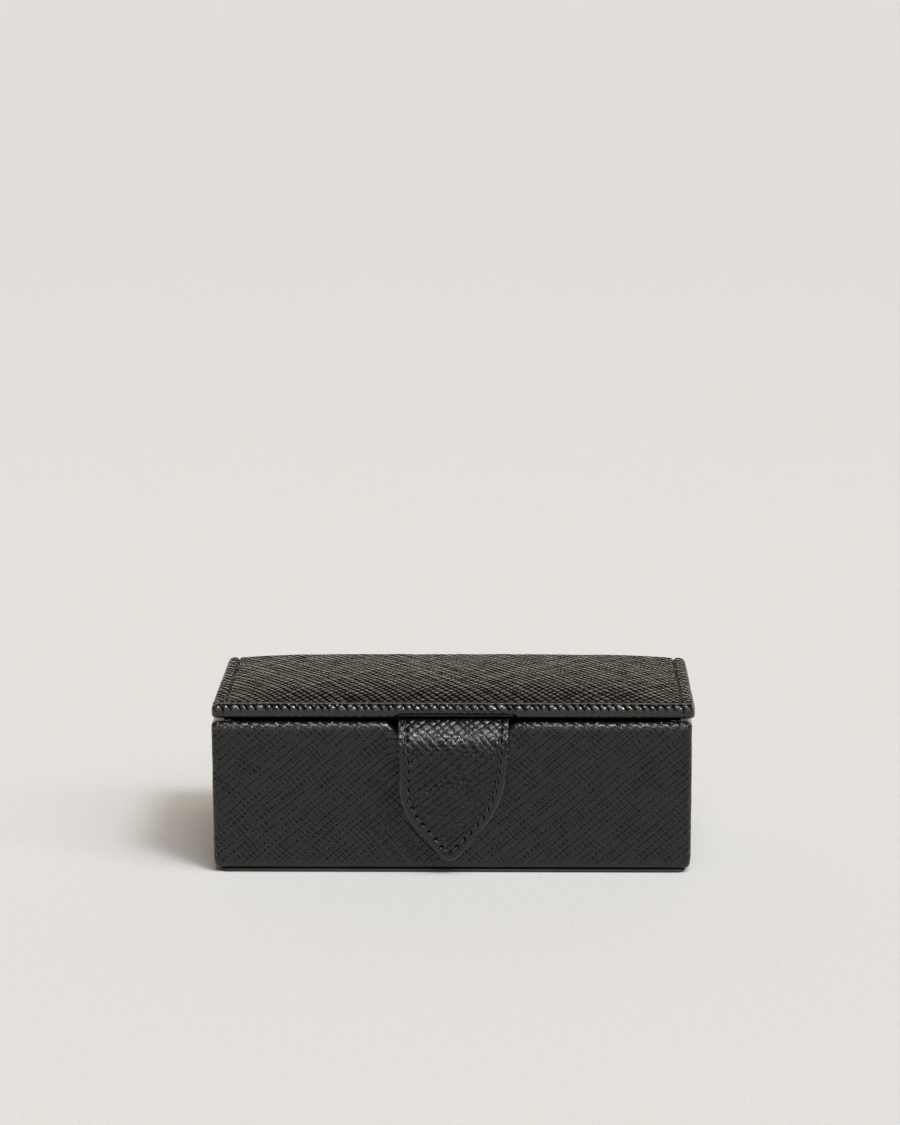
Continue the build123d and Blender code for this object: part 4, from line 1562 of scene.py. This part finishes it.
def stitch_carrier(name, tab, course, path, side):
    """A line along the stitches, on the face or on the lining, that carries the leather's direction."""
    if side > 0:
        rise = tab.face - 0.17 + magnet_bulge(tab, course, *path.T) + FACE_SWELL * ripple(*path.T, 3.0)
    else:
        rise = np.full(len(path), -tab.lining - 0.02)
    flat = np.column_stack([path, rise])
    points = bent(tab, course, flat)
    up = bent(tab, course, flat + np.array([0, 0, side])) - points
    run = run_along(points)
    half = tab.stitch_pitch / 2
    marks = np.linspace(half, run[-1] - half, 300)
    edges = [(n, n + 1) for n in range(len(marks) - 1)]
    mesh = bpy.data.meshes.new(name)
    mesh.from_pydata((at_marks(marks, run, points) * MM).tolist(), edges, [])
    attribute = mesh.attributes.new(LEATHER_UP, "FLOAT_VECTOR", "POINT")
    attribute.data.foreach_set("vector", at_marks(marks, run, up).astype(np.float32).ravel())
    return add_object(name, mesh)


# Stage


LAMPS = {  # where each lamp shines from
    "key": (0.42, -0.48, 0.80),
    "front": (0.02, -0.67, 0.74),
    "side": (0.785, -0.366, 0.5),
    "soft": (0.31, -0.48, 0.82),
}
FLOOR_REACH = 60.0  # metres from the box to each side of the floor


def sun_lamp(name, direction, width, power, tint):
    """A broad, distant lamp that shines from a direction."""
    data = bpy.data.lights.new(name, "SUN")
    data.angle, data.energy, data.color = width, power, tint
    add_object(name, data).rotation_euler = Vector(direction).to_track_quat("Z", "Y").to_euler()


def photo_camera():
    """The camera at the photograph's angle: pose in millimetres and degrees, focal length in pixels."""
    focal, tilt, turn, roll = 3541.0, 11.066, 1.159, -0.184
    target, distance = (-0.6, 0.0, 77.0), 937.57
    e, r = math.radians(tilt), math.radians(roll)
    right = Vector((1, 0, 0))
    forward = Vector((0, math.cos(e), -math.sin(e)))
    up = Vector((0, math.sin(e), math.cos(e)))
    place = Vector(target) - forward * distance
    rolled_right = right * math.cos(r) + up * math.sin(r)
    rolled_up = up * math.cos(r) - right * math.sin(r)
    turned = Matrix.Rotation(math.radians(turn), 3, "Z")
    axes = Matrix([turned @ rolled_right, turned @ rolled_up, turned @ -forward]).transposed()
    data = bpy.data.cameras.new("camera")
    data.sensor_width, data.sensor_fit = SENSOR, "AUTO"
    data.lens = focal / IMAGE[1] * SENSOR
    data.clip_start, data.clip_end = 0.01, 20
    camera = add_object("camera", data)
    camera.matrix_world = Matrix.Translation(turned @ place * MM) @ axes.to_4x4()
    bpy.context.scene.camera = camera


def pale_floor():
    """A floor that runs on past the top of the picture."""
    mesh = bpy.data.meshes.new("floor")
    ends = ((-1, -1), (1, -1), (1, 1), (-1, 1))
    mesh.from_pydata([(FLOOR_REACH * x, FLOOR_REACH * y, 0) for x, y in ends], [], [(0, 1, 2, 3)])
    return add_object("floor", mesh)


def room_light(stage):
    """A dim room all round, and a pale wall low behind the box."""
    world = bpy.data.worlds.new("room")
    world.use_nodes = True
    tree = Tree(world.node_tree)
    way = tree.add("ShaderNodeSeparateXYZ", tree.add("ShaderNodeTexCoord").outputs["Generated"]).outputs
    low = tree.ease(way["Z"], 0.12, 0.7, 1.0, 0.0)
    behind = tree.times(low, tree.ease(way["Y"], 0.35, 0.85))
    tree.fill(
        world.node_tree.nodes["Background"],
        Color=tree.mix_colour(behind, opaque(stage.room), opaque(stage.back)),
        Strength=tree.math("MULTIPLY_ADD", behind, stage.back_strength, stage.room_strength),
    )
    return world


# Operators


class PieceOperator:
    """What all the operators share."""

    bl_options = {"REGISTER"}


class BOX_OT_case_cover(PieceOperator, bpy.types.Operator):
    """Cover the case in grained leather, rolled over the rim and its scoop"""

    bl_idname = "cufflink_box.case_cover"
    bl_label = "Case cover"

    def execute(self, context):
        case = sizes("box_case")
        points, faces, corner_uv = case_cover(case)
        leather = cross_grain("case_leather_grain", CASE_GRAIN)
        grain = case_grain(case, points)
        piece = make_piece("case_cover", points, faces, corner_uv, leather, "case", grain)
        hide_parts("case_leather")
        return {"FINISHED"}


class BOX_OT_inner_parts(PieceOperator, bpy.types.Operator):
    """Finish the parts that the covers hide: boards, cards and magnets"""

    bl_idname = "cufflink_box.inner_parts"
    bl_label = "Boards, cards and magnets"

    def execute(self, context):
        finish = context.scene.box_finish
        boards = [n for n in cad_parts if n.endswith("_board")]
        finish_nodes(boards, fibrous("case_board", finish.board))
        finish_nodes(["base_infill", "lid_infill"], fibrous("card", finish.card))
        finish_nodes(["case_magnet", "tab_magnet"], nickel())
        return {"FINISHED"}


class BOX_OT_sole(PieceOperator, bpy.types.Operator):
    """Close the underside with a sole of smooth black leather, its edge rounded"""

    bl_idname = "cufflink_box.sole"
    bl_label = "Sole"

    def execute(self, context):
        leather = smooth_leather("sole_calf", context.scene.box_finish.sole, 0.38)
        piece = make_piece("sole_card", *sole_card(), leather, "case")
        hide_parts("sole")
        return {"FINISHED"}


class BOX_OT_lining(PieceOperator, bpy.types.Operator):
    """Finish the wall linings and the dividers in suede, and lay the swelling floor pad"""

    bl_idname = "cufflink_box.lining"
    bl_label = "Lining, dividers and floor pad"

    def execute(self, context):
        material = suede()
        names = [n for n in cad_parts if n.endswith("_lining") or "divider" in n]
        finish_nodes([n for n in names if n != "lid_lining"], material)
        piece = make_piece("cell_pad", *floor_pad(), material, "case")
        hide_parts("floor_pad")
        return {"FINISHED"}


class BOX_OT_lid_cover(PieceOperator, bpy.types.Operator):
    """Cover the padded lid in grained leather, down over the hinge and the back of the case"""

    bl_idname = "cufflink_box.lid_cover"
    bl_label = "Lid cover"

    def execute(self, context):
        lid = lid_frame()
        points, faces, corner_uv = lid_cover(lid)
        leather = cross_grain("lid_leather_grain", LID_GRAIN)
        piece = make_piece("lid_cover", points, faces, corner_uv, leather, None, lid_grain(lid, points))
        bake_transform(piece)
        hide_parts("lid_leather", "back_leather", "hinge_fold")
        return {"FINISHED"}


class BOX_OT_lid_pads(PieceOperator, bpy.types.Operator):
    """Lay the foam crown under the lid's leather, and the suede pad inside the lid"""

    bl_idname = "cufflink_box.lid_pads"
    bl_label = "Lid foam and lining"

    def execute(self, context):
        foam = fibrous("foam", context.scene.box_finish.foam)
        piece = make_piece("lid_padding", *lid_foam(lid_frame()), foam, "lid")
        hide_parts("lid_foam")
        nap = bpy.data.materials.get("black_suede") or suede()
        piece = make_piece("lid_pad", *lid_lining(), nap, "lid")
        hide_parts("lid_lining")
        return {"FINISHED"}


class BOX_OT_tab(PieceOperator, bpy.types.Operator):
    """Make the pointed tab, a grained face and a smooth lining that fold from under the lid, and sew it"""

    bl_idname = "cufflink_box.tab"
    bl_label = "Tab and stitches"

    def execute(self, context):
        tab = sizes("box_tab")
        course = tab_course(tab)
        path, holes = stitch_line(tab, course)
        *form, flat = tab_skin(tab, course, 1, tab.face, path, holes)
        grained = cross_grain("tab_leather_grain", TAB_GRAIN)
        leather = make_piece("tab_leather", *form, grained, None, tab_grain(tab, course, flat, holes))
        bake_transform(leather)
        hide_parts("tab_root", "tab_fold", "tab_face")
        *form, _ = tab_skin(tab, course, -1, tab.lining, path, holes, 0.06)
        smooth = smooth_leather("tab_lining", context.scene.box_finish.tab_lining, 0.45)
        lining = make_piece("tab_backing", *form, smooth)
        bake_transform(lining)
        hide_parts("tab_back")
        group, thread = stitch_tree(), waxed_thread()
        for name, side in (("tab_stitches", 1), ("tab_back_stitches", -1)):
            carrier = stitch_carrier(name + "_line", tab, course, path, side)
            inputs = {
                "Count": len(holes) - 1,
                "Stitch Length": tab.stitch_length * MM,
                "Thread Radius": tab.thread / 2 * MM,
                "Rise": 0.2 * MM,
                "Slant": math.radians(13) * side,
                "Material": thread,
            }
            sewn = run_tree(name, group, carrier, inputs, thread)
            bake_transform(sewn)
        return {"FINISHED"}


class BOX_OT_stage(PieceOperator, bpy.types.Operator):
    """Set the camera at the photograph's angle, the pale floor and backdrop, and the lamps"""

    bl_idname = "cufflink_box.stage"
    bl_label = "Stage"

    def execute(self, context):
        scene, stage = context.scene, context.scene.box_stage
        photo_camera()
        floor = pale_floor()
        floor.data.materials.append(paper(stage.floor))
        floor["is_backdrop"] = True
        scene.world = room_light(stage)
        for name, direction in LAMPS.items():
            width, power = getattr(stage, name + "_width"), getattr(stage, name + "_strength")
            sun_lamp(name, direction, width, power, stage.key if name == "key" else stage.soft)
        scene.view_settings.view_transform = "Standard"
        return {"FINISHED"}


OPERATORS = (
    BOX_OT_stage,
    BOX_OT_inner_parts,
    BOX_OT_sole,
    BOX_OT_case_cover,
    BOX_OT_lining,
    BOX_OT_lid_cover,
    BOX_OT_lid_pads,
    BOX_OT_tab,
)


class BOX_PT_pieces(bpy.types.Panel):
    """Lists the operators, and under them every size and colour"""

    bl_label = "Cufflink box"
    bl_idname = "BOX_PT_pieces"
    bl_space_type = "VIEW_3D"
    bl_region_type = "UI"
    bl_category = "Cufflink box"

    def draw(self, context):
        column = self.layout.column(align=True)
        for operator in OPERATORS:
            column.operator(operator.bl_idname)
        for name in (*SIZE_GROUPS, *OTHER_GROUPS):
            group = getattr(context.scene, name)
            box = self.layout.box()
            for key in type(group).__annotations__:
                box.prop(group, key)


CLASSES = (*SIZE_GROUPS.values(), *OTHER_GROUPS.values(), *OPERATORS, BOX_PT_pieces)


def register():
    """Registers the classes, and adds the settings to the scene."""
    for cls in CLASSES:
        bpy.utils.register_class(cls)
    for name, group in {**SIZE_GROUPS, **OTHER_GROUPS}.items():
        setattr(bpy.types.Scene, name, bpy.props.PointerProperty(type=group))


def unregister():
    """Takes the settings off the scene, and the classes out of the list."""
    for name in (*SIZE_GROUPS, *OTHER_GROUPS):
        delattr(bpy.types.Scene, name)
    for cls in reversed(CLASSES):
        bpy.utils.unregister_class(cls)


def corners():
    return [list(corner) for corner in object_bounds()]


def main():
    """Makes every piece and the stage."""
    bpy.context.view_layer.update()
    register()
    for operator in OPERATORS:
        category, name = operator.bl_idname.split(".")
        getattr(getattr(bpy.ops, category), name)()


if __name__ == "__main__":
    main()
